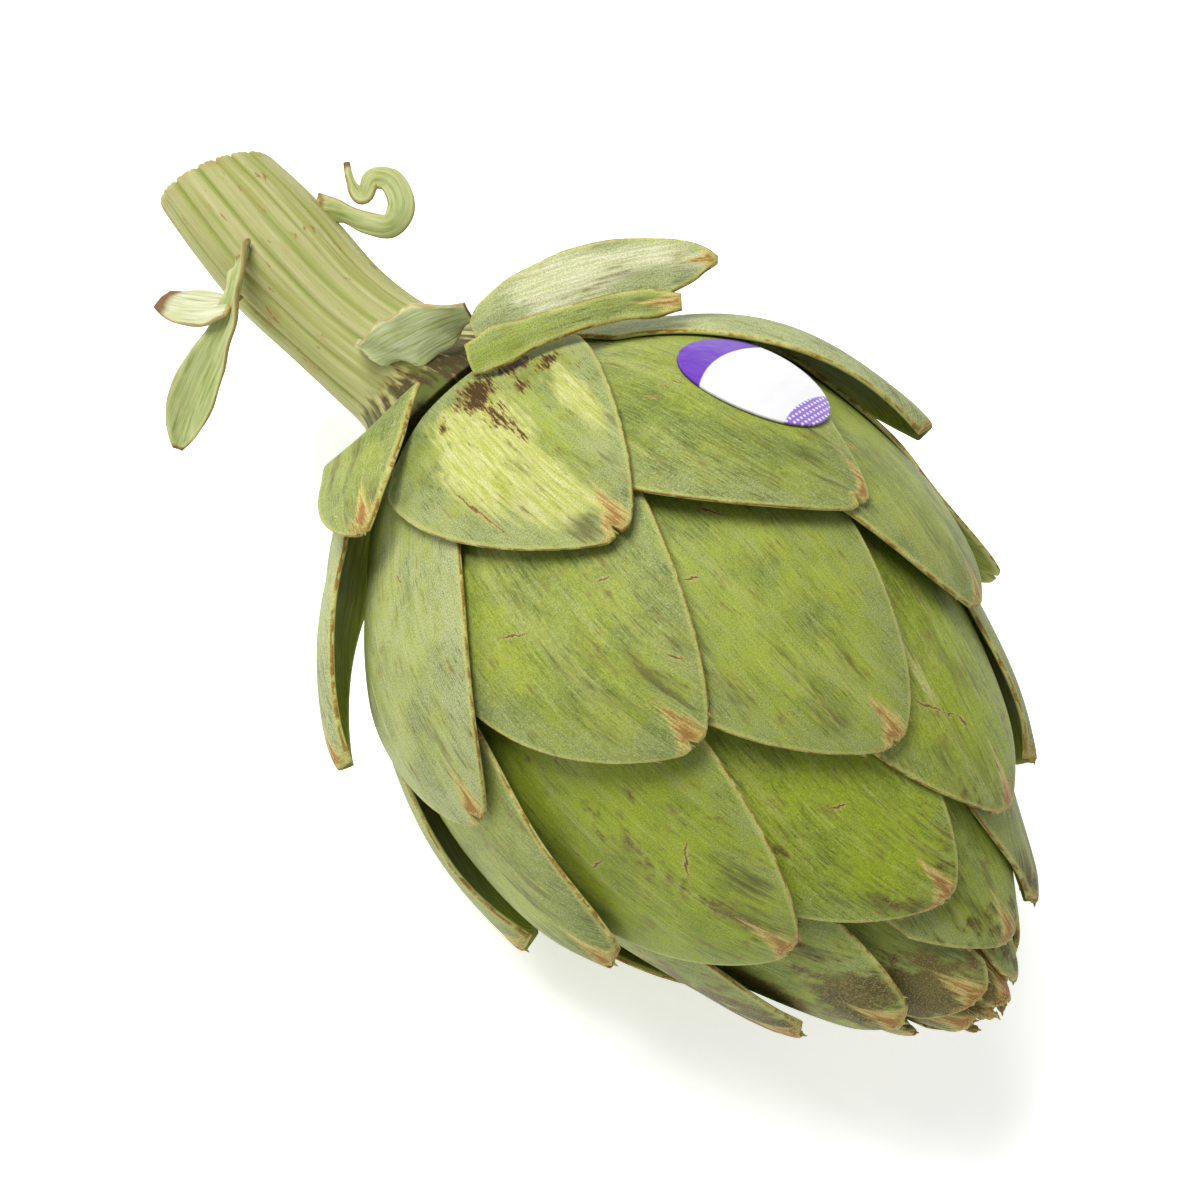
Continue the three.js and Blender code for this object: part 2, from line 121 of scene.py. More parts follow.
OUTLINE_SHARES = np.linspace(0, 1, 1501)
OUTLINE_Z = BUD_LENGTH * OUTLINE_SHARES**2 * (3 - 2 * OUTLINE_SHARES)  # closer together at both ends
OUTLINE_STEPS = np.hypot(np.diff(OUTLINE_Z), np.diff(bud_radius(OUTLINE_Z)))
OUTLINE_ALONG = np.concatenate([[0], np.cumsum(OUTLINE_STEPS)])


def outline_at(along):
    """Height, radius and outward normal of the outline, so far along it from the stem."""
    z = np.interp(along, OUTLINE_ALONG, OUTLINE_Z)
    x = np.clip(z / BUD_LENGTH, 1e-5, 1 - 1e-5)
    radius = bud_radius(z)
    slope = radius * (BUD_RISE / x - BUD_FALL / (1 - x)) / BUD_LENGTH
    size = np.hypot(1, slope)
    return z, radius, -slope / size, 1 / size


def swelling(along, azimuth):
    """How far the bud swells past its outline, which is the same all round otherwise."""
    x = (along - SWELLING["along"]) / SWELLING["reach"]
    y = ((azimuth - SWELLING["azimuth"] + 180) % 360 - 180) / SWELLING["spread"]
    return SWELLING["height"] * np.exp(-x * x - y * y)


def bud_point(along, azimuth, height):
    """A point so far along the outline, at an azimuth, and so high over the bud's skin."""
    z, radius, normal_z, normal_r = outline_at(along)
    r = np.maximum(radius + height * normal_r, 0.05) + swelling(along, azimuth)
    a = np.radians(azimuth)
    return np.stack([r * np.cos(a), r * np.sin(a), z + height * normal_z], axis=-1)


BASIS = Matrix(((0, 0, 1), (0, -1, 0), (1, 0, 0))).to_4x4()
LIE = (
    Matrix.Translation(BUD_AT)
    @ Matrix.Rotation(math.radians(LEAN_BACK), 4, "Y")
    @ BASIS
    @ Matrix.Rotation(math.radians(-ROLL), 4, "Z")
)


def laid(points):
    """Takes points in mm from the bud's frame to the model's, in metres. None goes under the floor."""
    turn = np.array(LIE.to_3x3())
    placed = points @ turn.T + np.array(LIE.translation)
    placed[:, 2] = np.maximum(placed[:, 2], 0)
    return placed * MM


# ---- one bract's surface ----
TIP_RADIANS = math.pi / 2 / TIP_STEPS


def tip_along(index):
    """How far along the outline a bract has its tip."""
    return FIRST_TIP + (LAST_TIP - FIRST_TIP) * math.sin(index * TIP_RADIANS)


def step_at(along):
    """The index of the bract whose tip would lie so far along the outline."""
    share = np.clip((along - FIRST_TIP) / (LAST_TIP - FIRST_TIP), -1, 1)
    return np.maximum(np.arcsin(share) / TIP_RADIANS, OLDEST - BASE_STEPS)


def layer_depth(index, steps):
    """How deep a bract lies where it has so many older ones over it."""
    thin = min(max((index - THIN_FROM) / (THIN_TO - THIN_FROM), 0), 1)
    flat = FLAT_STEPS + (TOP_FLAT_STEPS - FLAT_STEPS) * thin
    n = np.maximum(steps, 0)
    return LAYER_STEP * np.where(n < flat, n * n / (2 * flat), n - flat / 2)


def half_width(back, reach):
    """Half the width of a bract, so far back from its tip."""
    x = np.clip(back / reach, 0, 1)
    return TIP_HALF_WIDTH + (HALF_WIDTH - TIP_HALF_WIDTH) * (1 - (1 - x) ** 2) ** WIDTH_POWER


class Bract:
    """One bract of the spiral, as a surface over (back from the tip in mm, across from -1 to 1)."""

    def __init__(self, index, root_steps=ROOT_STEPS):
        self.index = index
        self.own = {**PLAIN, **OWN.get(index, {})}
        self.tip = tip_along(index) + self.own["up"]
        root = self.own["root"] or max(tip_along(index - root_steps), ROOT_LOW)
        self.azimuth = FIRST_AZIMUTH + self.own["turn"] + GOLDEN_TURN * index
        self.length = self.tip - root
        self.point = POINT_LENGTH * min(max((index - POINT_FROM) / POINT_STEPS, 0), 1)

    def height(self, along, across):
        """How high the bract lies over the outline, not counting its ribs and waves."""
        own = self.own
        near = np.clip(1 - (self.tip - along) / own["lift_reach"], 0, 1) ** 2
        depth = layer_depth(self.index, self.index - step_at(along - own["up"]))
        return own["lift"] * near * (1 - own["cup"] * across**2) - depth - HUG * across**2

    def ring(self, back, across):
        """How far from the bud's axis the bract lies."""
        along = self.tip - back
        _, radius, _, normal_r = outline_at(along)
        return np.maximum(radius + self.height(along, across) * normal_r, 1)

    def half(self, back, ring):
        """Half the bract's width: no more than the bud has room for, and narrowing over its base."""
        widest = math.radians(WIDEST_AZIMUTH) * ring
        by_rule = half_width(back, self.own["reach"]) * self.own["wide"]
        closing = np.clip(1 - (self.length - back) / max(self.own["base"], 0.1), 0, 1)
        return np.minimum(by_rule, widest) * np.sqrt(1 - 0.96 * closing**2)

    def surface(self, back, across, under):
        """Points, and how far each lies to the side of the midrib, for under = 0 on top to 1 underneath."""
        own = self.own
        leaning = np.clip(1 - back / LEAN_REACH, 0, 1) ** 2
        near_tip = np.clip(1 - back / 6, 0, 1)
        cleft = NOTCH * np.clip(1 - 3 * np.abs(across), 0, 1)
        point = self.point * np.clip(1 - 2.2 * np.abs(across), 0, 1)
        along = self.tip - back - (cleft - point) * near_tip
        thickness = MIDDLE_THICK + (MARGIN_THICK - MIDDLE_THICK) * across**2
        _, radius, _, normal_r = outline_at(along)
        ring = np.maximum(radius + self.height(along, across) * normal_r, 1)
        half = self.half(back, ring)
        raised = math.sin(math.radians(abs(own["twist"]))) * half * (1 + np.sign(own["twist"]) * across)
        height = self.height(along, across) + raised * np.minimum((self.length - back) / TWIST_REACH, 1)
        side = across * half
        sideways = side - (TIP_LEAN - own["skew"]) * leaning
        turned = np.degrees(np.clip(sideways / ring, -1, 1)) + own["root_turn"] * (back / self.length) ** 2
        midrib = RIB_HEIGHT * np.exp(-((side / RIB_WIDTH) ** 2)) * np.clip(1 - back / RIB_REACH, 0, 1)
        waviness = WAVE * np.sin(back / 4.3 + self.index * 2.1 + np.sign(across)) * across**4
        height = height + (midrib + waviness) * np.minimum(back / 4, 1) - under * thickness
        return bud_point(along, self.azimuth + turned, height), side


# ---- modelling ----
RIM_NOSE = 0.45  # how far in from a blade's edge its rim is rounded
RIM_LINES = (0, 0.12, 0.3, 0.6, 1.1, 1.8)  # how far in from the edge the lines of vertices lie that follow it
WELD = 0.002


def start_editing():
    bpy.ops.object.mode_set(mode="EDIT")
    bpy.ops.mesh.select_all(action="SELECT")


def finish_mesh():
    """Welds the rim of the piece just shaped, points its faces outwards and smooths it."""
    start_editing()
    bpy.ops.mesh.remove_doubles(threshold=WELD * MM)
    bpy.ops.mesh.normals_make_consistent(inside=False)
    bpy.ops.object.mode_set(mode="OBJECT")
    bpy.ops.object.shade_smooth()


def join(piece, others):
    """Makes the others part of the piece."""
    bpy.ops.object.select_all(action="DESELECT")
    for part in [piece, *others]:
        part.select_set(True)
    bpy.context.view_layer.objects.active = piece
    bpy.ops.object.join()


def move_vertices(piece, points, fields):
    """Puts the vertices at points (mm, bud's frame) and keeps a vector per vertex under each field's name."""
    mesh = piece.data
    mesh.vertices.foreach_set("co", laid(points).astype(np.float32).ravel())
    for name, values in fields.items():
        attribute = mesh.attributes.new(name, "FLOAT_VECTOR", "POINT")
        columns = [np.broadcast_to(value, len(points)) for value in values]
        attribute.data.foreach_set("vector", np.stack(columns, -1).astype(np.float32).ravel())
    mesh.update()


def vertex_places(piece):
    """The x, y and z of a fresh primitive's vertices."""
    places = np.zeros(len(piece.data.vertices) * 3, np.float32)
    piece.data.vertices.foreach_get("co", places)
    return places.reshape(-1, 3).astype(float).T


def new_blade(name, rows, cols):
    """A grid with a second one under it, and each vertex's row, its column, and 0 on top or 1 underneath."""
    bpy.ops.object.select_all(action="DESELECT")
    bpy.ops.mesh.primitive_grid_add(x_subdivisions=cols, y_subdivisions=rows, size=2)
    blade = bpy.context.object
    blade.name = blade.data.name = name
    start_editing()
    bpy.ops.mesh.duplicate()
    bpy.ops.transform.translate(value=(0, 0, 1))
    bpy.ops.mesh.flip_normals()
    bpy.ops.object.mode_set(mode="OBJECT")
    x, y, z = vertex_places(blade)
    return blade, np.rint((y + 1) / 2 * rows).astype(int), np.rint((x + 1) / 2 * cols).astype(int), z


def lines_from_rim(count, length, both_ends):
    """Places of count + 1 lines over a length, close together at its start, and at its end too if asked."""
    rim = np.array(RIM_LINES) * min(1, length / 12)
    if both_ends:
        middle = np.linspace(rim[-1], length - rim[-1], count + 3 - 2 * len(rim))
        return np.concatenate([rim[:-1], middle, length - rim[-2::-1]])
    middle = rim[-1] + (length - rim[-1]) * np.linspace(0, 1, count + 2 - len(rim)) ** 1.15
    return np.concatenate([rim[:-1], middle])


def places_across(row, col, cols, half):
    """How far across a blade each vertex lies, from -1 to 1, given its row, its column and the half width."""
    across = np.zeros_like(half)
    for line in range(row.max() + 1):
        here = row == line
        width = half[here][0]
        across[here] = lines_from_rim(cols, 2 * width, True)[col[here]] / width - 1
    return across


def rounded_rim(from_rim, under):
    """How far a blade's faces draw in near its rim, as a share of the thickness: both meet half-way."""
    drawn = 1 - np.clip(from_rim / RIM_NOSE, 0, 1)
    rise = (1 - np.sqrt(1 - drawn**2)) / 2
    return under * (1 - rise) + (1 - under) * rise


def add_bract(name, bract, rows=56, cols=36):
    """One bract of the spiral, with what its finish needs kept on its vertices."""
    piece, row, col, under = new_blade(name, rows, cols)
    back = lines_from_rim(rows, bract.length, False)[row]
    span = bract.half(back, bract.ring(back, 0))
    across = places_across(row, col, cols, span)
    from_rim = np.minimum(np.minimum(span * (1 - np.abs(across)), back), bract.length - back)
    points, side = bract.surface(back, across, rounded_rim(from_rim, under))
    pale, scorch, smudge, brown = marks_of(bract.index, side, back)
    fields = {
        "lay": (side, back, bract.index * SEED_STEP),
        "rim": (from_rim, wedge_of(bract, side, back), under),
        "marks": (pale, scorch, smudge),
        "kind": kind_of(bract, brown, back),
        "scar": scars_of(bract, side, back),
    }
    move_vertices(piece, points, fields)
    finish_mesh()
    add_spines(piece, bract)
    return piece


def add_spines(piece, bract):
    """Tiny horny spines joined to a bract: one at its tip, and one on each margin of a young bract."""
    dice = np.random.default_rng(SPINE_DICE + bract.index)
    places = [(0.3, dice.uniform(-0.4, 0.4), 0.9)]
    if bract.index >= YOUNG_FROM:
        places += [(dice.uniform(0.6, 4), margin, dice.uniform(0.7, 1)) for margin in (-0.93, 0.93)]
    spines = []
    for back, across, size in places:
        foot_and_inner = np.array([back, back + 2]), np.array([across, across * 0.75]), np.full(2, 0.5)
        foot, inner = laid(bract.surface(*foot_and_inner)[0])
        way = Vector(foot - inner).normalized()
        long = SPINE_LENGTH * size
        bpy.ops.mesh.primitive_cone_add(
            vertices=SPINE_SIDES,
            radius1=SPINE_RADIUS * MM,
            radius2=SPINE_RADIUS * 0.15 * MM,
            depth=long * MM,
            location=Vector(foot) + way * long * 0.3 * MM,
            rotation=way.to_track_quat("Z", "Y").to_euler(),
        )
        spines.append(bpy.context.object)
    join(piece, spines)


def new_ball(name, rings, sides):
    """A sphere to be shaped: for each vertex its share of the way from the first pole, and its azimuth."""
    bpy.ops.object.select_all(action="DESELECT")
    bpy.ops.mesh.primitive_uv_sphere_add(segments=sides, ring_count=rings, radius=1)
    ball = bpy.context.object
    ball.name = ball.data.name = name
    x, y, z = vertex_places(ball)
    return ball, np.arccos(np.clip(z, -1, 1)) / math.pi, np.arctan2(y, x)


def smooth_run(stops, share):
    """Points on a smooth curve through the stops, for shares of the way from 0 to 1."""
    stops = np.array(stops, float)
    last = len(stops) - 1
    ends = np.vstack([2 * stops[0] - stops[1], stops, 2 * stops[-1] - stops[-2]])
    at = np.clip(share, 0, 1) * last
    first = np.minimum(np.floor(at).astype(int), last - 1)
    t = (at - first)[:, None]
    p0, p1, p2, p3 = (ends[first + k] for k in range(4))
    gaps = (np.sum((b - a) ** 2, -1, keepdims=True) ** 0.25 for a, b in ((p0, p1), (p1, p2), (p2, p3)))
    d0, d1, d2 = (np.where(gap < 1e-4, 1.0, gap) for gap in gaps)
    leave = d1 * ((p1 - p0) / d0 - (p2 - p0) / (d0 + d1) + (p2 - p1) / d1)
    arrive = d1 * ((p2 - p1) / d1 - (p3 - p1) / (d1 + d2) + (p3 - p2) / d2)
    squared = 3 * (p2 - p1) - 2 * leave - arrive
    cubed = 2 * (p1 - p2) + leave + arrive
    return p1 + leave * t + squared * t**2 + cubed * t**3


def unit(vectors):
    return vectors / np.linalg.norm(vectors, axis=-1, keepdims=True)


def turned_round(vectors, axes, angles):
    """Vectors turned round unit axes by angles in radians."""
    cos, sin = np.cos(angles)[:, None], np.sin(angles)[:, None]
    along = np.sum(vectors * axes, -1, keepdims=True)
    return vectors * cos + np.cross(axes, vectors) * sin + axes * along * (1 - cos)


def add_ribbon(name, stops, rows, cols=16, thick=0.9, fold=0.0, wave=0.0, ruffle=0.0, seed=0.0, index=None):
    """A curled leaf along a path. Each stop is (x, y, z, half width, twist). A bract gives its index too."""
    piece, row, col, under = new_blade(name, rows, cols)
    path = [stop[:3] for stop in stops]
    extra = [(stop[3], stop[4], 0) for stop in stops]
    length = np.sum(np.linalg.norm(np.diff(smooth_run(path, np.linspace(0, 1, 200)), axis=0), axis=-1))
    share = lines_from_rim(rows, length, True)[row] / length
    centre = smooth_run(path, share)
    step = 1e-3
    tangent = unit(smooth_run(path, share + step) - smooth_run(path, share - step))
    half, twist, _ = smooth_run(extra, share).T
    across = places_across(row, col, cols, half)
    wide = unit(np.cross(np.broadcast_to([1.0, 0, 0], tangent.shape), tangent))
    wide = turned_round(wide, tangent, np.radians(twist))
    normal = np.cross(tangent, wide)
    from_rim = np.minimum(half * (1 - np.abs(across)), np.minimum(share, 1 - share) * length)
    raised = fold * half * np.abs(across) + wave * across * np.sin(share * 9)
    raised += ruffle * across**2 * np.sin(share * length * 0.9 + 2 * np.sign(across) + seed)
    raised -= (rounded_rim(from_rim, under) - 0.5) * thick
    points = centre + wide * (across * half)[:, None] + normal * raised[:, None]
    back = (1 - share) * length
    fields = {
        "lay": (across * half, back, seed),
        "rim": (from_rim, across * half, under),
        "way": (share, 0, 0),
    }
    if index is not None:
        pale, scorch, smudge, brown = marks_of(index, across * half, back)
        fields["marks"] = pale, scorch, smudge
        fields["kind"] = FRESH[index], brown, WAXY[index]
        fields["scar"] = NO_SCAR
    move_vertices(piece, points, fields)
    finish_mesh()
    return piece


# ---- marks on single bracts ----
SEED_STEP = 7.31  # from one bract's noises to the next one's
# By bract. Each mark: what it is, how far back from the tip and to the side its middle lies, how far it
# reaches along and across, and its strength.
PALE, SCORCH, SMUDGE, BROWN = 0, 1, 2, 3
MARKS = {
    -6: [(PALE, 46, 0, 5, 3, 0.7), (SMUDGE, 5, 0, 8, 2, 0.8)],
    -3: [
        (PALE, 24, 1, 9, 5, 1.1),
        (PALE, 14, 2, 9, 3, 0.9),
        (PALE, 4, 0, 6, 2, 0.9),
        (BROWN, 0, 0, 2, 2, 1.0),
    ],
    0: [
        (PALE, 28, 3, 13, 8, 1.35),
        (PALE, 39, 4, 7, 4.5, 1.2),
        (PALE, 14, 1.5, 11, 5.5, 1.15),
        (PALE, 24, -12.5, 12, 3, 1.05),
        (PALE, 9, -1.8, 9, 1.4, 1.1),
        (SCORCH, 42, -1.5, 7, 5, 1.6),
        (SCORCH, 33, -1.6, 8, 2.4, 1.45),
        (SCORCH, 26, -2.2, 6, 1.2, 1.5),
        (SCORCH, 43, -9, 6, 4.5, 1.6),
        (SCORCH, 36, -7.5, 6, 1.8, 1.4),
        (SCORCH, 37, -13, 3.5, 4, 1.4),
        (SCORCH, 31, -16, 2.5, 1.2, 1.2),
        (SCORCH, 41, 5.5, 3, 1.6, 1.4),
        (SCORCH, 36, 9, 3.5, 0.8, 1.2),
        (SMUDGE, 4, 2, 3, 2.5, 1.5),
        (SMUDGE, 15, -13, 4, 2, 0.9),
    ],
    3: [
        (SCORCH, 45, 1, 9, 10, 0.78),
        (SCORCH, 28, 5, 14, 5, 0.76),
        (SCORCH, 19, 0.5, 5, 2, 0.9),
        (SMUDGE, 14, -3, 5, 2.5, 0.8),
        (PALE, 32, 13, 16, 5, 0.55),
    ],
    5: [
        (SMUDGE, 9.5, -2.5, 3.5, 2.5, 1.1),
        (SMUDGE, 12, -8.5, 4, 1.2, 1.1),
        (SMUDGE, 38, 8, 4, 3, 0.6),
    ],
    8: [
        (SMUDGE, 11, -4.6, 7, 1.9, 1.3),
        (SMUDGE, 12, -10.6, 3, 2, 1.1),
        (SMUDGE, 16, 2.5, 4, 1.4, 0.7),
        (SMUDGE, 34, 2, 5, 1.5, 0.5),
    ],
    10: [(SMUDGE, 8, -3, 8, 1.5, 1.0), (SMUDGE, 15, 5, 6, 2, 0.8)],
    11: [(SMUDGE, 9, 3, 6, 2.5, 1.1), (SMUDGE, 16, -4, 8, 2, 0.9), (BROWN, 3, 4, 6, 4, 0.8)],
    13: [
        (SMUDGE, 29, 11, 5, 2, 0.7),
        (SMUDGE, 20, 12, 6, 2.5, 0.9),
        (SMUDGE, 18, 3, 8, 1.6, 0.9),
        (SMUDGE, 14, -3.5, 5, 1.4, 1.1),
        (SMUDGE, 8, 3.5, 3, 2.4, 1.0),
    ],
    15: [(BROWN, 8, 0, 12, 8, 0.85), (SMUDGE, 22, 3, 8, 3, 0.8)],
    16: [
        (BROWN, 25, -1.3, 14, 2.4, 0.72),
        (BROWN, 10, -2, 6, 2.6, 0.78),
        (SMUDGE, 12.6, -8.4, 5, 2.5, 1.1),
        (SMUDGE, 9.5, -2.5, 4.5, 1.8, 1.3),
        (SMUDGE, 6, 5, 4, 3, 0.9),
        (SMUDGE, 26, 3, 8, 1.5, 0.6),
    ],
    18: [
        (PALE, 26, 3, 12, 5, 0.45),
        (SMUDGE, 9, 2.5, 5, 1.6, 1.1),
        (SMUDGE, 22, -3, 8, 2, 0.7),
        (SMUDGE, 30, 4, 6, 2, 0.6),
    ],
    19: [(BROWN, 14, 1, 20, 12, 1.2)],
    21: [
        (SMUDGE, 14, 4.5, 5, 1.3, 1.0),
        (SMUDGE, 7, 5, 4.5, 1.6, 1.3),
        (BROWN, 6, 5, 4, 2, 0.7),
        (SMUDGE, 3, 3, 3, 2, 1.2),
        (SMUDGE, 8, -6, 4, 1, 0.8),
    ],
    23: [(SMUDGE, 9, 0, 8, 3, 1.1), (SMUDGE, 5, 6.5, 5, 3, 1.3), (BROWN, 3, 0, 6, 5, 0.9)],
    24: [
        (BROWN, 9, -4, 7, 9, 1.15),
        (BROWN, 18, 4, 9, 5, 1.1),
        (BROWN, 14, -8, 9, 5, 0.8),
        (SMUDGE, 19, -10, 7, 3, 1.2),
    ],
    26: [(SMUDGE, 8, 2, 6, 1.6, 1.1), (BROWN, 2, 2, 4, 4, 0.8)],
    29: [(BROWN, 8, 2, 9, 8, 1.25)],
    32: [(BROWN, 7, 0, 8, 6, 1.0)],
    34: [(BROWN, 7, 0, 9, 7, 1.15)],
    36: [(BROWN, 5, 0, 8, 8, 1.0)],
    37: [(BROWN, 5, 0, 8, 8, 1.1)],
}
# How yellow-green a bract is, and how much waxy bloom it carries, from 0 to 1. The others have the usual.
USUAL_FRESH, USUAL_WAX = 0.2, 0.4
WEATHER_FROM, WEATHER_STEPS = 6, 30
FRESH = {
    -6: 0.8, -3: 0.1, 5: 0.25, 8: 0.35, 13: 0.45, 16: 0.8, 18: 0.75, 21: 1.0, 24: 0.5, 26: 0.9, 31: 0.5,
}
WAXY = {
    -6: 0.2, -5: 0.42, -4: 0.6, -3: 1.0, -2: 0.8, 0: 0.55, 1: 0.6, 2: 0.75, 3: 0.7, 5: 0.45, 6: 0.6,
    16: 0.1, 18: 0.15, 21: 0.0,
}

# Small scars: how far back and to the side the middle lies, how it is turned, and half its length.
NO_SCAR = (9, 9, 0)
SCARS = {
    0: [(18.4, 10, 4, 7.6)],
    3: [(38, -7, 30, 1.6)],
    5: [(33, 3.5, 50, 1.5), (33.3, -1.5, 20, 1.0)],
    8: [(30, 6, 54, 3.0), (26.8, -9.5, 70, 1.1), (11.4, -9.1, 20, 1.2)],
    10: [(30, 6, 15, 2.0)],
    13: [(37.3, 5.8, 60, 1.4), (44, -3, 35, 2.4)],
    16: [(21, -5.6, -50, 3.6), (30, 6, 80, 1.5)],
    18: [(20, 5.6, 42, 3.2), (15.4, 1, 20, 1.4)],
    21: [(22, -2, 70, 1.6)],
    24: [(14, 5, 60, 1.5)],
}


def marks_of(index, side, back):
    """How much of each kind of mark lies on each vertex."""
    layers = [np.zeros_like(side) for _ in range(4)]
    dice = np.random.default_rng(MARK_DICE + index)
    by_rule = [
        (SMUDGE, dice.uniform(4, 22), dice.uniform(-9, 9), dice.uniform(3, 7), dice.uniform(1, 2.2), 0.75)
        for _ in range(5)
    ]
    for kind, mark_back, mark_side, long, wide, strength in [*MARKS.get(index, []), *by_rule]:
        here = strength * np.exp(-(((back - mark_back) / long) ** 2) - ((side - mark_side) / wide) ** 2)
        layers[kind] = np.maximum(layers[kind], here)
    return layers


def scars_of(bract, side, back):
    """Places along and across the nearest scar, as a share of half its length and in mm, and its presence."""
    along, off, present = np.full_like(side, 9.0), np.full_like(side, 9.0), np.zeros_like(side)
    nearest = np.full_like(side, 1e9)
    for scar_back, scar_side, turn, half in SCARS.get(bract.index, []):
        cos, sin = math.cos(math.radians(turn)), math.sin(math.radians(turn))
        u = (back - scar_back) * cos + (side - scar_side) * sin
        v = (side - scar_side) * cos - (back - scar_back) * sin
        far = np.hypot(np.maximum(np.abs(u) - half, 0), v)
        here = far < nearest
        nearest = np.where(here, far, nearest)
        along, off = np.where(here, u / half, along), np.where(here, v, off)
        present = np.where(here, np.clip(1.5 - far / 4, 0, 1), present)
    return along, off, present


def kind_of(bract, brown, back):
    """How fresh a bract is, how weathered, and how much wax it has: young ones weather from their tips."""
    young = min(max((bract.index - WEATHER_FROM) / WEATHER_STEPS, 0), 1)
    near_tip = 0.6 * young * np.clip(1.4 - back / 9, 0, 1)
    weathered = np.maximum(brown, 0.25 * young + near_tip)
    return FRESH.get(bract.index, USUAL_FRESH), weathered, WAXY.get(bract.index, USUAL_WAX)


# How far to the side the dry streak at the tip starts, and how it slants.
USUAL_WEDGE = (-1.4, -0.1)
WEDGES = {0: (-1.2, -0.3), 5: (-3.6, -0.55), 21: (-1.4, -0.3)}


def wedge_of(bract, side, back):
    """How far to the side of the dry streak at the tip each vertex lies."""
    offset, slant = WEDGES.get(bract.index, USUAL_WEDGE)
    return side - offset * np.minimum(back / 3, 1) - slant * back


# ---- materials ----
def tone(code):
    """A colour written as six hexadecimal digits, in linear light."""
    parts = [int(code[i : i + 2], 16) / 255 for i in (0, 2, 4)]
    return tuple(p / 12.92 if p <= 0.04045 else ((p + 0.055) / 1.055) ** 2.4 for p in parts) + (1,)


class Varying:
    """A number that varies over a surface: one socket of a node, with arithmetic."""

    def __init__(self, finish, socket):
        self.finish, self.socket = finish, socket

    def maths(self, operation, *others):
        settings = {"operation": operation}
        return self.finish.node("ShaderNodeMath", settings, *others)

    def __add__(self, other):
        return self.maths("ADD", self, other)

    __radd__ = __add__

    def __sub__(self, other):
        return self.maths("SUBTRACT", self, other)

    def __rsub__(self, other):
        return self.maths("SUBTRACT", other, self)

    def __mul__(self, other):
        return self.maths("MULTIPLY", self, other)

    __rmul__ = __mul__

    def __truediv__(self, other):
        return self.maths("DIVIDE", self, other)

    def __pow__(self, other):
        return self.maths("POWER", self, other)

    def fraction(self):
        return self.maths("FRACT", self)

    def least(self, other):
        return self.maths("MINIMUM", self, other)

    def most(self, other):
        return self.maths("MAXIMUM", self, other)

    def size(self):
        return self.maths("ABSOLUTE", self)

    def step(self, low, high):
        """0 up to low, 1 from high on, and smooth between; the other way round if low is above high."""
        settings = {"interpolation_type": "SMOOTHSTEP"}
        if low < high:
            return self.finish.node("ShaderNodeMapRange", settings, self, low, high, 0.0, 1.0)
        return self.finish.node("ShaderNodeMapRange", settings, self, high, low, 1.0, 0.0)


class Finish:
    """A material under construction, round one Principled shader."""

    def __init__(self, name):
        self.material = bpy.data.materials.new(name)
        self.material.use_nodes = True
        self.nodes = self.material.node_tree.nodes
        self.links = self.material.node_tree.links
        self.shader = self.nodes["Principled BSDF"]

    def node(self, kind, settings, *values, output=0, **named):
        """Adds a node: its settings first, then its sockets' values or links, in order or by name."""
        node = self.nodes.new(kind)
        for setting, value in settings.items():
            setattr(node, setting, value)
        for key, value in [*enumerate(values), *named.items()]:
            self.feed(node.inputs[key], value)
        return Varying(self, node.outputs[output])

    def feed(self, socket, value):
        """Gives a socket a value, or a link where the value varies."""
        if isinstance(value, Varying):
            self.links.new(value.socket, socket)
        else:
            socket.default_value = value

    def field(self, name):
        """The three numbers that a mesh keeps on its vertices under a name."""
        vector = self.node("ShaderNodeAttribute", {"attribute_name": name}, output="Vector")
        parts = self.nodes.new("ShaderNodeSeparateXYZ")
        self.links.new(vector.socket, parts.inputs[0])
        return [Varying(self, parts.outputs[i]) for i in range(3)]

    def place(self, x, y, z):
        return self.node("ShaderNodeCombineXYZ", {}, x, y, z)

    def noise(self, place, scale=1.0, detail=2.0, roughness=0.5):
        values = {"Vector": place, "Scale": scale, "Detail": detail, "Roughness": roughness}
        return self.node("ShaderNodeTexNoise", {}, output="Fac", **values)

    def blend(self, share, under, over, how="MIX"):
        """One colour over another."""
        settings = {"data_type": "RGBA", "blend_type": how, "clamp_factor": True}
        node = self.nodes.new("ShaderNodeMix")
        for setting, value in settings.items():
            setattr(node, setting, value)
        colours = [socket for socket in node.inputs if socket.type == "RGBA"]
        self.feed(node.inputs[0], share)
        self.feed(colours[0], under)
        self.feed(colours[1], over)
        return Varying(self, [socket for socket in node.outputs if socket.type == "RGBA"][0])

    def bump(self, height, distance):
        """Relief: height is in units of distance, in mm."""
        normal = self.node("ShaderNodeBump", {}, Strength=1.0, Distance=distance * MM, Height=height)
        self.feed(self.shader.inputs["Normal"], normal)

    def done(self, colour, roughness, **steady):
        """Feeds the shader; what is steady is the same all over, and set on the shader's own sockets."""
        self.feed(self.shader.inputs["Base Color"], colour)
        self.feed(self.shader.inputs["Roughness"], roughness)
        for name, value in steady.items():
            self.shader.inputs[name.replace("_", " ")].default_value = value
        return self.material


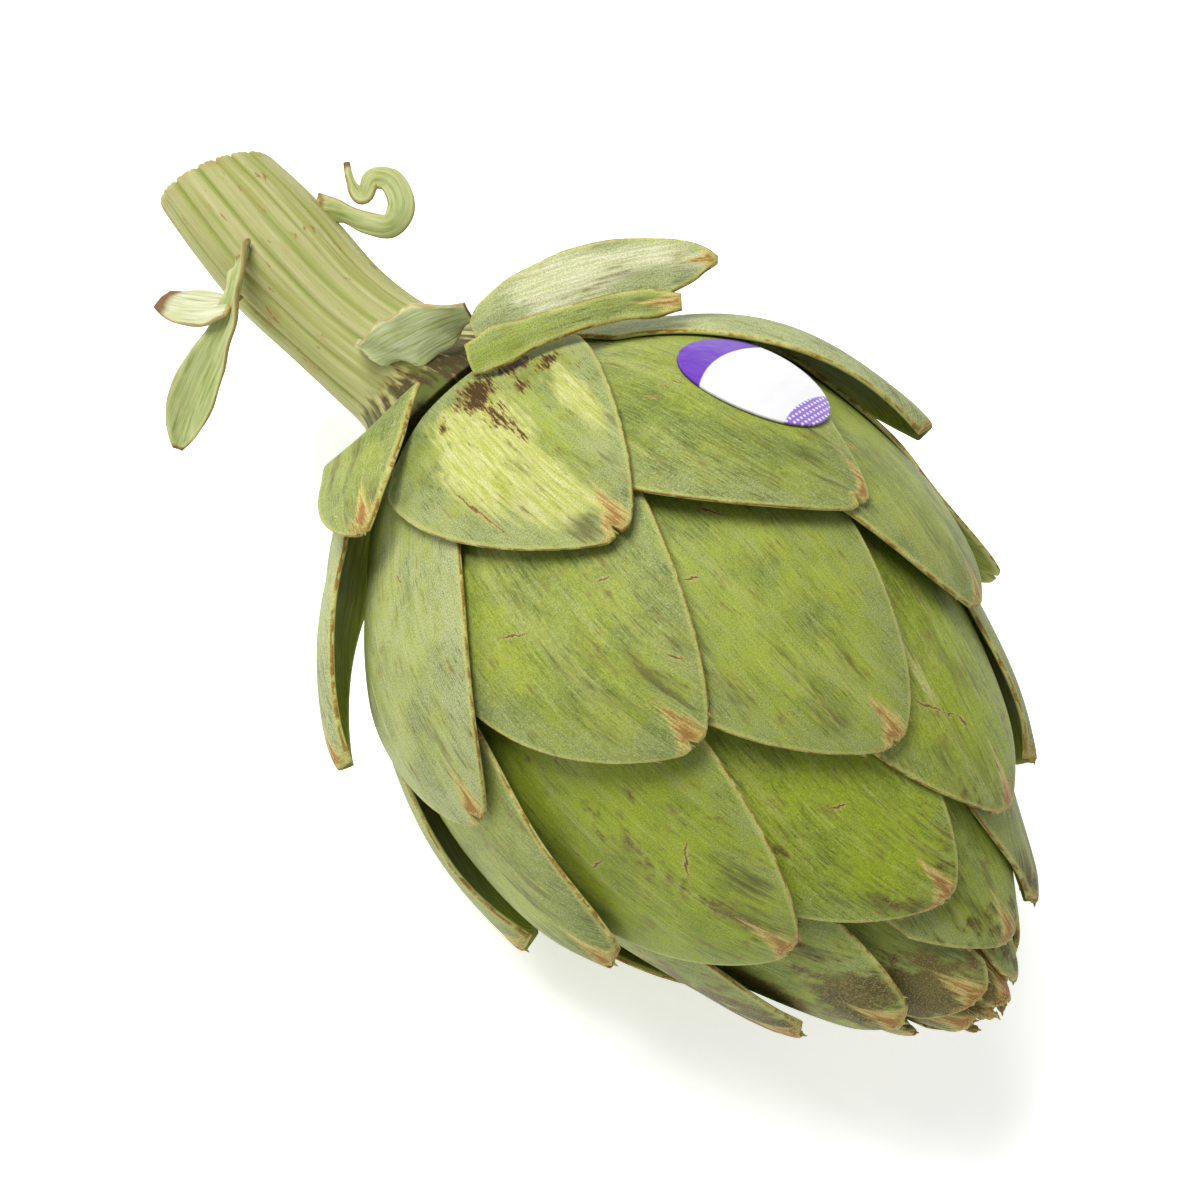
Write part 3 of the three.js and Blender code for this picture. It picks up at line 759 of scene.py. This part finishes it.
class BractFinish(Finish):
    """The skin of a bract: what its vertices keep, and noises that run along it, to lay colours by."""

    def __init__(self):
        super().__init__("bract_skin")
        self.side, self.back, self.seed = self.field("lay")
        self.from_rim, self.wedge, self.under = self.field("rim")
        self.pale, self.scorch, self.smudge = self.field("marks")
        self.fresh, self.brown, self.wax = self.field("kind")
        self.along_scar, self.off_scar, self.scarred = self.field("scar")
        self.fibres = self.strands(2.2, 0.13, 0, 3, 0.65)
        self.strokes = self.strands(1.1, 0.13, 6, 4, 0.7)
        self.streaks = self.strands(0.45, 0.04, 3, 2)
        self.clouds = self.strands(0.12, 0.1, 9, 3)
        self.patches = self.strands(0.35, 0.25, 15, 4, 0.65)
        self.grain = self.strands(4.4, 3.8, 0, 2, 0.8)
        self.dots = self.strands(6.5, 5.5, 21, 1)
        self.brush = self.strands(2.4, 0.22, 27, 4, 0.7)
        self.hairs = self.strands(4.6, 0.34, 33, 2, 0.6)

    def strands(self, across, along, shift, detail, roughness=0.5):
        """Noise that changes so fast across the bract and along it, and is another one on each bract."""
        place = self.place(self.side * across, self.back * along, self.seed + shift)
        return self.noise(place, detail=detail, roughness=roughness)


def green_skin(f):
    """Olive green, yellower where it is fresh, with lengthwise streaks."""
    colour = f.blend(f.clouds.step(0.35, 0.65), tone("70802b"), tone("97a33c"))
    colour = f.blend(f.patches.step(0.45, 0.7) * 0.5, colour, tone("a3a850"))
    colour = f.blend(f.fresh * (0.45 + f.clouds.step(0.35, 0.65) * 0.55), colour, tone("8a9c16"))
    colour = f.blend(f.streaks.step(0.5, 0.72) * 0.5, colour, tone("a6ac54"))
    colour = f.blend(f.fibres.step(0.52, 0.7) * 0.4, colour, tone("b2b768"))
    colour = f.blend(f.fibres.step(0.46, 0.28) * 0.55, colour, tone("58641f"))
    return f.blend(f.strokes.step(0.42, 0.3) * 0.55, colour, tone("565f24"))


def waxy_bloom(f):
    """How much bloom lies on the skin: most of it towards the margins."""
    near_margin = f.from_rim.step(10, 1.0)
    bloom = f.wax + near_margin * 0.6 - f.patches.step(0.4, 0.62) * 0.45 + (f.streaks - 0.5) * 0.9
    return bloom.most(0.03).least(1)


def with_bloom(f, colour, bloom):
    """The bloom is grey-green and lies on in specks, with thin dark hairs over it."""
    waxy = f.blend(f.wax.step(0.42, 0.72), tone("858e5c"), tone("a8ad84"))
    colour = f.blend(bloom * (0.35 + f.grain.step(0.35, 0.65) * 0.5), colour, waxy)
    colour = f.blend(f.dots.step(0.52, 0.72) * (0.15 + bloom * 0.4), colour, tone("bfc398"))
    return f.blend((f.hairs + (f.clouds - 0.5) * 0.5).step(0.4, 0.3) * 0.6, colour, tone("4d5722"))


def with_pale_streaks(f, colour):
    """Pale fleshy streaks, whiter where the bract is waxy."""
    fleshy = f.pale + (f.strokes - 0.5) * 1.5 + (f.streaks - 0.5) * 1.2
    flesh = f.blend(f.fibres.step(0.35, 0.65), tone("aab048"), tone("cbc98a"))
    waxy_flesh = f.blend(f.fibres.step(0.35, 0.65), tone("b7ba86"), tone("d6d6b4"))
    flesh = f.blend(f.wax.step(0.6, 0.9), flesh, waxy_flesh)
    return f.blend(fleshy.step(0.32, 0.8) * f.pale.step(0.05, 0.3) * 0.85, colour, flesh)


def with_smudges(f, colour):
    """Dark smudges, and faded patches everywhere."""
    dark = f.smudge * 0.75 + (f.strokes - 0.5) * 2.4 + (f.grain - 0.5) * 1.4
    smudge_tone = f.blend(f.patches, tone("3f451c"), tone("5d5230"))
    colour = f.blend(dark.step(0.35, 1.0) * f.smudge.step(0.04, 0.4) * 0.78, colour, smudge_tone)
    faded = (f.patches - 0.5) * 1.5 + (f.strokes - 0.5) * 2 + (f.grain - 0.5) * 0.6
    return f.blend(faded.step(0.12, 0.5) * 0.55, colour, tone("71673a"))


def with_weathering(f, colour):
    """Brown weathering in patches, rusty and grainy."""
    worn = f.brown + (f.patches - 0.5) * 2.4 + (f.strokes - 0.5) * 1.4 + (f.grain - 0.5) * 1.2
    rusty = f.blend(f.clouds.step(0.4, 0.6), tone("62522b"), tone("3f3218"))
    rusty = f.blend(f.grain.step(0.5, 0.64) * 0.65, rusty, tone("9c8a50"))
    return f.blend(worn.step(0.42, 0.8) * 0.88, colour, rusty)


def with_scorches(f, colour):
    """Scorches look brushed on, darkest inside."""
    burnt = f.scorch * 0.8 + (f.brush - 0.5) * 2.6
    colour = f.blend(burnt.step(0.75, 0.95) * f.scorch.step(0.15, 0.45) * 0.8, colour, tone("7e5824"))
    return f.blend(burnt.step(0.9, 1.1) * f.scorch.step(0.25, 0.5) * 0.92, colour, tone("3a2408"))


def with_dry_tip(f, colour):
    """The tip dries to tan and brown along the midrib, and its end is crumbly."""
    dry = (1 - f.back / 15 - f.wedge.size() / (0.5 + (15 - f.back).most(0) * 0.12) * 0.5).most(0)
    tan = (dry + (f.fibres - 0.5) * 1.2).step(0.25, 0.6) * dry.step(0, 0.08)
    colour = f.blend(tan, colour, tone("bfae68"))
    brown = (dry + (f.brush - 0.5) * 1.8).step(0.45, 0.8) * dry.step(0.15, 0.35)
    colour = f.blend(brown, colour, tone("977039"))
    crumbs = 1 - f.back / (1.7 + f.brown * 2.5) + (f.patches - 0.5) * 1.4 + (f.grain - 0.5) * 0.8
    crumb_tone = f.blend(f.grain.step(0.4, 0.6), tone("74481c"), tone("b58d50"))
    return f.blend(crumbs.step(0.4, 0.8), colour, crumb_tone)


def with_margin(f, colour):
    """A pale band inside a thin tan rim."""
    wavering = f.from_rim + (f.patches - 0.5) * 0.5
    colour = f.blend(wavering.step(1.2, 0.4) * 0.55, colour, tone("b8bb6c"))
    rim_tone = f.blend(f.patches.step(0.4, 0.56), tone("bfb86c"), tone("94702f"))
    return f.blend(wavering.step(0.42, 0.15), colour, rim_tone)


def with_scars(f, colour):
    """A scar is a wandering line, dark inside and corky outside."""
    wander = (f.off_scar + (f.strokes - 0.5) * 1.2 + (f.patches - 0.5) * 1.6).size()
    taper = (1 - f.along_scar * f.along_scar).most(0) * f.scarred
    corky = (taper * 0.52 - wander + (f.grain - 0.5) * 0.6).step(-0.1, 0.25)
    colour = f.blend(corky * 0.8, colour, tone("b0a060"))
    split = (taper * 0.2 - wander + (f.grain - 0.5) * 0.35).step(-0.03, 0.1)
    return f.blend(split * 0.85, colour, tone("54401c"))


# What lies over the bloom, from the lowest layer to the top one.
LAYERS = (
    with_pale_streaks, with_smudges, with_weathering, with_scorches, with_dry_tip, with_margin, with_scars,
)


def bract_finish():
    f = BractFinish()
    bloom = waxy_bloom(f)
    colour = with_bloom(f, green_skin(f), bloom)
    for layer in LAYERS:
        colour = layer(f, colour)

    # Everything is finely speckled.
    speck = f.blend(f.grain.step(0.3, 0.7), (0.73, 0.73, 0.71, 1), (1.27, 1.27, 1.27, 1))
    colour = f.blend(0.9, colour, speck, "MULTIPLY")

    # Underneath, the skin is smooth and fresh.
    inner = f.blend(f.fibres.step(0.3, 0.7), tone("7f8c26"), tone("a9b050"))
    inner = f.blend(f.from_rim.step(1.2, 0.3), inner, tone("b9bd74"))
    colour = f.blend(f.under.step(0.45, 0.55), colour, inner)

    f.bump(f.fibres * 0.4 + f.streaks * 0.6 + f.grain * 0.35 + f.dots * 0.15, 0.2)
    return f.done(colour, 0.5 + bloom * 0.15, Specular_IOR_Level=0.22)


# ---- the bracts ----
bract_skin = bract_finish()


def ride_and_replace(piece, node, material):
    """Gives a finished piece its material, and puts it in the place of a node."""
    piece.data.materials.append(material)
    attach(piece, "root")
    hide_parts(node)


def on_bud(along, azimuth, height, half, twist):
    """A stop of a leaf's path, given by its place on the bud."""
    return (*bud_point(along, azimuth, height), half, twist)


# Two small bracts at the base lie across the bud. Each stop: along the outline, azimuth, height over the
# outline, half width, twist.
LEANING = {
    -6: [
        (31, -9, -0.6, 2.6, 0),
        (35, -17, 0.4, 3.2, 0),
        (36.8, -26.5, 0, 2.5, 0),
        (40.2, -36, 0.2, 2.2, 0),
        (44, -45, 0.5, 2.2, 0),
        (47.8, -50.5, 0.6, 2.2, 0),
        (50.5, -54, 0.8, 1.3, 0),
    ],
    -3: [
        (24, -21, 0.6, 1.6, 0),
        (28, -28, 1.8, 3.8, 0),
        (33, -36.5, 2.6, 5.4, 0),
        (39.5, -45.6, 4, 6, 0),
        (44.5, -55.6, 4.6, 5, 0),
        (49, -60.6, 5.8, 2.8, 0),
        (51.5, -62, 6.4, 0.6, 0),
    ],
}


def add_leaning(name, index):
    """A base bract that leans across the bud."""
    stops = [on_bud(*stop) for stop in LEANING[index]]
    seed = index * SEED_STEP
    return add_ribbon(name, stops, 70, cols=28, thick=1.0, fold=-0.15, ruffle=0.25, seed=seed, index=index)


for index in range(OLDEST, YOUNGEST + 1):
    number = index - OLDEST + 1
    name = f"bract_{number:02d}_skin"
    skin = add_leaning(name, index) if index in LEANING else add_bract(name, Bract(index))
    ride_and_replace(skin, f"bract_{number:02d}", bract_skin)

# ---- the heart ----
HEART_FROM, HEART_TO, HEART_DEPTH, HEART_FLOOR = 26, 166, 10.9, 12
HEART_FOOT, HEART_TOP = 0.1, 0.96  # shares of the sphere's rings between its flat foot and flat top


def add_heart():
    """The fleshy core, with the youngest bracts packed on its end."""
    core, share, azimuth = new_ball("heart_skin", 40, 64)
    spread = np.minimum(np.minimum(share / HEART_FOOT, (1 - share) / (1 - HEART_TOP)), 1)
    way = np.clip((share - HEART_FOOT) / (HEART_TOP - HEART_FOOT), 0, 1)
    along = HEART_FROM + (HEART_TO - HEART_FROM) * way
    points = bud_point(along, np.degrees(azimuth), -HEART_DEPTH)
    points[:, 2] = np.maximum(points[:, 2], HEART_FLOOR)
    points[:, :2] *= spread[:, None]
    none = np.zeros_like(share)
    fields = {
        "lay": (azimuth * 20, 160 - along, 5),
        "rim": (none + 20, none, none),
        "marks": (none, none, none),
        "kind": (0.2, 0.4, 0.0),
        "scar": NO_SCAR,
    }
    move_vertices(core, points, fields)
    finish_mesh()
    young = [
        add_bract(f"heart_bract_{index}", Bract(index, ROOT_STEPS + 4), rows=40, cols=28)
        for index in range(YOUNGEST + 1, HEART_TIPS + 1)
    ]
    join(core, young)
    return core


ride_and_replace(add_heart(), "heart", bract_skin)

# ---- the stem ----
# Along it: height, how far its middle lies to the side, and its radius.
STEM_RINGS = [
    (-45.8, 7.4, 9.4),
    (-38, 7.4, 10.2),
    (-27, 7.2, 10.7),
    (-14, 6.3, 10.1),
    (-4, 4.5, 10.8),
    (3, 2.2, 12.6),
    (8, 0.6, 16),
    (11.7, 0, 18),
]
RIBS, RIB_DEPTH, FINE_RIB_DEPTH, RIBS_FADE = 16, 0.45, 0.14, 14
CUT_SLANT, SLANT_REACH, CUT_HOLLOW = -0.29, 12, 0.5  # the cut is slanted and a little hollow
CUT_EDGE, CUT_EDGE_REACH = 0.35, 0.8  # the cut's edge is rounded off by this much
CUT_SHARE, TOP_SHARE = 0.16, 0.97  # shares of the sphere's rings where the cut face ends and the top begins


def add_stem():
    """The ribbed stub, cut across at its end, as a sphere drawn out along STEM_RINGS."""
    stem, share, azimuth = new_ball("stem_skin", 110, 192)
    way = np.clip((share - CUT_SHARE) / (TOP_SHARE - CUT_SHARE), 0, 1)
    z, side, radius = smooth_run(STEM_RINGS, way).T
    end, top = STEM_RINGS[0][0], STEM_RINGS[-1][0]

    faded = np.clip((top - z) / RIBS_FADE, 0, 1)
    uneven = azimuth + 0.07 * np.sin(3 * azimuth + 1) + 0.03 * np.sin(5 * azimuth + 2) + 0.02 * np.sin(z / 9)
    uneven_depth = 0.7 + 0.3 * np.sin(5 * azimuth + 0.6) * np.cos(2 * azimuth + z / 25)
    in_groove = uneven_depth * (0.5 - 0.5 * np.cos(RIBS * uneven)) ** 9
    fine = (0.5 - 0.5 * np.cos(3 * RIBS * uneven + 1)) ** 3
    groove = faded * (RIB_DEPTH * in_groove + FINE_RIB_DEPTH * fine)

    inward = np.minimum(share / CUT_SHARE, 1)
    on_face = np.clip((inward - 0.93) / 0.07, 0, 1)
    on_side = np.clip(1 - (z - end) / CUT_EDGE_REACH, 0, 1)
    rounding = CUT_EDGE * np.where(share <= CUT_SHARE, on_face, on_side) ** 2
    spread = np.where(share < CUT_SHARE, inward, 1) * np.minimum((1 - share) / (1 - TOP_SHARE), 1)
    out = (radius - groove - rounding) * spread
    x, y = out * np.cos(azimuth), out * np.sin(azimuth)
    near_end = np.clip(1 - (z - end) / SLANT_REACH, 0, 1)
    hollow = np.where(share < CUT_SHARE, CUT_HOLLOW * (1 - inward**2), 0)
    height = z + CUT_SLANT * y * near_end + groove * near_end * spread + hollow
    cut = np.where(share <= CUT_SHARE * 0.99, 1.0, 0.0)
    fields = {
        "lay": (uneven * 11, z, 2.0),
        "rib": (in_groove * faded, fine * faded, cut),
        "disc": (out / 10, np.clip((z + 1) / 11, 0, 1), np.clip(1 - (z - end) / 2.5, 0, 1)),
    }
    move_vertices(stem, np.stack([x, side + y, height], -1), fields)
    finish_mesh()
    return stem


def stem_finish():
    f = Finish("stem_skin")
    round_stem, height, _ = f.field("lay")
    in_groove, fine, cut = f.field("rib")
    out, at_bud, at_cut = f.field("disc")
    fibres = f.noise(f.place(round_stem * 1.6, height * 0.06, 1.0), detail=3, roughness=0.6)
    streaks = f.noise(f.place(round_stem * 0.5, height * 0.03, 4.0), detail=2)
    patches = f.noise(f.place(round_stem * 0.25, height * 0.14, 8.0), detail=4, roughness=0.6)
    grain = f.noise(f.place(round_stem * 2.5, height * 2.5, 1.0), detail=2)
    dashes = f.noise(f.place(round_stem * 0.9, height * 0.3, 14.0), detail=3, roughness=0.6)
    cracks = f.noise(f.place(round_stem * 1.2, height * 0.12, 17.0), detail=3, roughness=0.6)

    # Pale green, darker in the grooves, with tan patches and scuffs.
    colour = f.blend(streaks.step(0.35, 0.65), tone("afac74"), tone("9ca05a"))
    colour = f.blend(fibres.step(0.5, 0.75) * 0.5, colour, tone("c4c194"))
    colour = f.blend(fibres.step(0.45, 0.3) * 0.5, colour, tone("8f9448"))
    grooved = (in_groove * 0.8 + fine * 0.25 + (streaks - 0.5) * 1.2).step(0.12, 0.8) * 0.8
    colour = f.blend(grooved, colour, tone("84903f"))
    colour = f.blend(patches.step(0.56, 0.7) * streaks.step(0.42, 0.56) * 0.8, colour, tone("ab8a50"))
    scuffs = (dashes + (patches - 0.5) * 0.8).step(0.66, 0.76)
    colour = f.blend(scuffs * 0.8, colour, tone("8a6534"))

    # The tissue is torn and dark where the stem meets the bud, and browned round the cut.
    torn = at_bud * 1.1 + (cracks - 0.5) * 2.2 + (patches - 0.5) * 1.6
    colour = f.blend(torn.step(0.3, 0.68) * at_bud.step(0.02, 0.2) * 0.7, colour, tone("86703a"))
    colour = f.blend(torn.step(0.5, 0.85) * at_bud.step(0.08, 0.35) * 0.9, colour, tone("3a2d14"))
    left_green = (patches + (fibres - 0.5) * 0.5).step(0.5, 0.62) * at_bud.step(0.1, 0.5)
    colour = f.blend(left_green * 0.7, colour, tone("5f6c28"))
    colour = f.blend(at_cut * patches.step(0.4, 0.6) * 0.8, colour, tone("a9824c"))

    # The cut face.
    pores = f.noise(f.place(out * 9, round_stem * 0.7, 3.0), detail=2)
    face = f.blend(pores.step(0.45, 0.6), tone("d9d6ac"), tone("b9b383"))
    face = f.blend(out.step(0.72, 0.9) * 0.7, face, tone("a9b06a"))
    colour = f.blend(cut, colour, face)
    f.bump(fibres * 0.7 + grain * 0.2, 0.25)
    return f.done(colour, 0.5 + patches * 0.2, Specular_IOR_Level=0.25)


ride_and_replace(add_stem(), "stem", stem_finish())

# ---- the small leaves ----
# The short wavy leaf at the base of the bud. Each stop: x, y, z, half width, twist.
BASE_LEAF = [
    (10.6, 6.8, -2.8, 2.4, 62),
    (13.8, 5.4, -0.8, 3.8, 62),
    (16.6, 2.2, 1.2, 4.8, 60),
    (19, -1.8, 3, 5, 58),
    (21.1, -5.8, 4.8, 4.2, 52),
    (21.8, -9.3, 6.6, 1.8, 48),
]
# The hooked leaf on one side of the stem.
HOOKED_LEAF = [
    (2.2, -2.2, -30, 2.4, 30),
    (3, -4.6, -26.5, 1.9, 30),
    (4, -6.6, -22, 1.8, 20),
    (4.5, -9.4, -18.6, 2, 15),
    (5, -12.8, -19.8, 2.2, 10),
    (5, -14.2, -24.4, 2.1, 10),
    (5, -12, -26.6, 1.9, 15),
    (4.5, -9.2, -25.4, 1.5, 30),
    (4, -9.2, -28.4, 0.9, 40),
    (4, -10.8, -31.8, 0.5, 40),
]
# The drooping leaf on the other side, and the lobe that curls back from it.
DROOPING_LEAF = [
    (10, 10.4, -29, 2.2, 60),
    (12.6, 12.4, -26.6, 2.6, 60),
    (12, 15.8, -24, 2.8, 50),
    (9.4, 20.6, -21.6, 3, 30),
    (7, 26, -20, 3.5, 10),
    (4.4, 32, -18, 4.2, 5),
    (2, 37, -16, 3, 5),
    (1, 39.8, -14.4, 0.8, 5),
]
LOBE = [
    (10.4, 17.5, -23.6, 3, 50),
    (9, 20.6, -26.2, 3.8, 35),
    (7.4, 24, -30.4, 3.6, 25),
    (6.4, 26, -33.8, 2.2, 40),
]


def leaf_finish(name, green, pale, dry_tip):
    """A small leaf: green with paler margins, browned at its foot, and dry for dry_tip mm at its tip."""
    f = Finish(name)
    side, back, seed = f.field("lay")
    from_rim, _, _ = f.field("rim")
    share, _, _ = f.field("way")
    fibres = f.noise(f.place(side * 1.8, back * 0.12, seed), detail=3, roughness=0.6)
    patches = f.noise(f.place(side * 0.4, back * 0.3, seed + 4), detail=3)
    colour = f.blend(fibres.step(0.35, 0.65), tone(green), tone(pale))
    colour = f.blend(patches.step(0.5, 0.7) * 0.5, colour, tone("b9bb82"))
    colour = f.blend(fibres.step(0.42, 0.28) * 0.5, colour, tone("6b7434"))
    colour = f.blend(from_rim.step(1.2, 0.3) * 0.5, colour, tone("c3c488"))
    colour = f.blend((from_rim + (patches - 0.5) * 0.9).step(0.25, 0.05) * 0.7, colour, tone("9c7a45"))
    colour = f.blend((back + (patches - 0.5) * dry_tip).step(dry_tip, dry_tip * 0.4), colour, tone("7c5a34"))
    foot = (share + (patches - 0.5) * 0.2 + (fibres - 0.5) * 0.1).step(0.09, 0.03)
    colour = f.blend(foot * 0.85, colour, f.blend(patches.step(0.4, 0.6), tone("b39a5a"), tone("7d5c2e")))
    f.bump(fibres, 0.2)
    return f.done(colour, 0.55, Specular_IOR_Level=0.25)


# Each leaf: its node and its own name, its path and shape, and its two greens and how far its tip is dry.
LEAVES = [
    (
        "base_leaf",
        "base_leaf_skin",
        BASE_LEAF,
        dict(rows=60, cols=24, thick=1.0, wave=1.1, ruffle=0.55, seed=1.0),
        # Painted light: the base leaf's two greens are paler than the leaf's own colour, to lift the shade on
        # a leaf that faces away from the key light.
        ("c9d68c", "e0e9bc", 0.4),
    ),
    (
        "stem_leaf_1",
        "hooked_leaf_skin",
        HOOKED_LEAF,
        dict(rows=90, fold=-0.25, ruffle=0.12, seed=2.0),
        ("909c50", "b3ba80", 1.5),
    ),
    (
        "stem_leaf_2",
        "drooping_leaf_skin",
        DROOPING_LEAF,
        dict(rows=80, fold=0.35, ruffle=0.25, seed=3.0),
        ("8d9a52", "aeb67c", 1.5),
    ),
    (
        "stem_leaf_2",
        "leaf_lobe_skin",
        LOBE,
        dict(rows=50, fold=-0.2, ruffle=0.2, seed=4.0),
        ("b9bd92", "d2d2b4", 3.5),
    ),
]
for node, name, stops, shape, look in LEAVES:
    ride_and_replace(add_ribbon(name, stops, **shape), node, leaf_finish(name, *look))

# ---- the sticker ----
# The bract it is on, its height and azimuth on the bud, and its slant.
STICKER_ON, STICKER_HEIGHT, STICKER_AZIMUTH, STICKER_SLANT = 5, 44.4, -49.4, -4
STICKER_LONG, STICKER_WIDE = 12.8, 9.7  # half its length and half its width
STICKER_CLEAR, STICKER_THICK, STICKER_RIM = 0.3, 0.35, 0.2
STICKER_ROWS, STICKER_COLS = 48, 32


def add_sticker():
    """A thin oval film that follows the bract under it."""
    film, row, col, under = new_blade("sticker_film", STICKER_ROWS, STICKER_COLS)
    bract = Bract(STICKER_ON)
    turn = math.pi * (0.02 + 0.96 * row / STICKER_ROWS)
    across = 2 * col / STICKER_COLS - 1
    forward, sideways = -STICKER_LONG * np.cos(turn), STICKER_WIDE * np.sin(turn) * across
    slant = math.radians(STICKER_SLANT)
    middle = np.interp(STICKER_HEIGHT, OUTLINE_Z, OUTLINE_ALONG)
    along = middle + forward * math.cos(slant) - sideways * math.sin(slant)
    round_bud = forward * math.sin(slant) + sideways * math.cos(slant)
    radius = outline_at(along)[1]
    azimuth = STICKER_AZIMUTH + np.degrees(round_bud / radius)
    offset = (azimuth - bract.azimuth + 180) % 360 - 180
    over = offset * np.radians(radius) / HALF_WIDTH
    from_side = STICKER_WIDE * np.sin(turn) * (1 - np.abs(across))
    from_edge = np.minimum(from_side, np.minimum(row, STICKER_ROWS - row))
    thick = (1 - under) * STICKER_THICK * np.clip(from_edge / STICKER_RIM, 0, 1)
    height = bract.height(along, over) + STICKER_CLEAR + thick
    fields = {
        "oval": (forward / STICKER_LONG, sideways / STICKER_WIDE, under),
        "lay": (forward, sideways, 0),
    }
    move_vertices(film, bud_point(along, azimuth, height), fields)
    finish_mesh()
    return film


def sticker_finish():
    """White film with one end purple and the other lavender with white dots: no lettering."""
    f = Finish("sticker_film")
    long, wide, _ = f.field("oval")
    forward, sideways, _ = f.field("lay")
    wrinkle = f.noise(f.place(forward * 0.25, sideways * 0.25, 1.0), detail=2)
    grain = f.noise(f.place(forward * 6, sideways * 6, 2.0), detail=1)
    colour = f.blend(grain, tone("dcdbdd"), tone("e9e9ea"))
    purple = (long + 0.5 - wide * wide * 0.22).step(0.012, -0.012)
    colour = f.blend(purple, colour, f.blend(grain, tone("5f2fa8"), tone("6b38b6")))
    lavender = (long - 0.66 - wide * wide * 0.2).step(-0.012, 0.012)
    row, column = (forward * 1.1).fraction() - 0.5, (sideways * 1.1).fraction() - 0.5
    dot = ((row * row + column * column) ** 0.5).step(0.3, 0.24)
    colour = f.blend(lavender, colour, f.blend(dot, tone("8d6cc6"), tone("dcdbdd")))
    f.bump(wrinkle, 0.3)
    return f.done(colour, 0.34 + wrinkle * 0.1, Specular_IOR_Level=0.4)


ride_and_replace(add_sticker(), "sticker", sticker_finish())

# ---- camera, floor and light ----
# Where the camera stands, and which ways are right and forward for it, in the model's frame.
EYE = Vector((96.24, -175.51, 440.8)) * MM
TO_RIGHT = Vector((0.6379, 0.7496, 0.1764)).normalized()
FORWARD = Vector((-0.2073, 0.3877, -0.8981)).normalized()
TO_TOP = TO_RIGHT.cross(FORWARD)
SENSOR = 36
FOCAL_PIXELS, FRAME_PIXELS = 2823, 1200
FLOOR_GLOW, WORLD_LIGHT = 0.5, 0.3

bpy.ops.object.camera_add()
camera = bpy.context.object
camera.name = "camera"
camera.matrix_world = Matrix.Translation(EYE) @ Matrix((TO_RIGHT, TO_TOP, -FORWARD)).transposed().to_4x4()
camera.data.sensor_width = SENSOR
camera.data.lens = SENSOR * FOCAL_PIXELS / FRAME_PIXELS
bpy.context.scene.camera = camera
bpy.context.scene.view_settings.view_transform = "Standard"

bpy.ops.mesh.primitive_plane_add(size=4)
floor = bpy.context.object
floor.name = "floor"
paper = Finish("pale_paper")
weave = paper.noise(paper.node("ShaderNodeTexCoord", {}, output="Object"), scale=600, detail=2)
floor.data.materials.append(
    paper.done(
        paper.blend(weave, tone("fbfbfb"), tone("ffffff")),
        0.9,
        Specular_IOR_Level=0.1,
        Emission_Color=(1, 1, 1, 1),
        Emission_Strength=FLOOR_GLOW,
    )
)


def add_softbox(name, right, top, towards, size, power):
    """A square soft light, so far to the right, to the top and towards the camera, in metres and watts."""
    place = right * TO_RIGHT + top * TO_TOP - towards * FORWARD
    bpy.ops.object.light_add(type="AREA", location=place)
    lamp = bpy.context.object
    lamp.name = name
    lamp.rotation_euler = (-place).to_track_quat("-Z", "Y").to_euler()
    lamp.data.size = size
    lamp.data.energy = power


add_softbox("key_softbox", -0.4, 0.95, 1.1, 0.8, 25)
add_softbox("fill_softbox", 0.9, -0.1, 1.0, 1.2, 2)

world = bpy.data.worlds.new("studio")
world.use_nodes = True
sky = world.node_tree.nodes["Background"].inputs
sky["Color"].default_value = (1, 1, 1, 1)
sky["Strength"].default_value = WORLD_LIGHT
bpy.context.scene.world = world
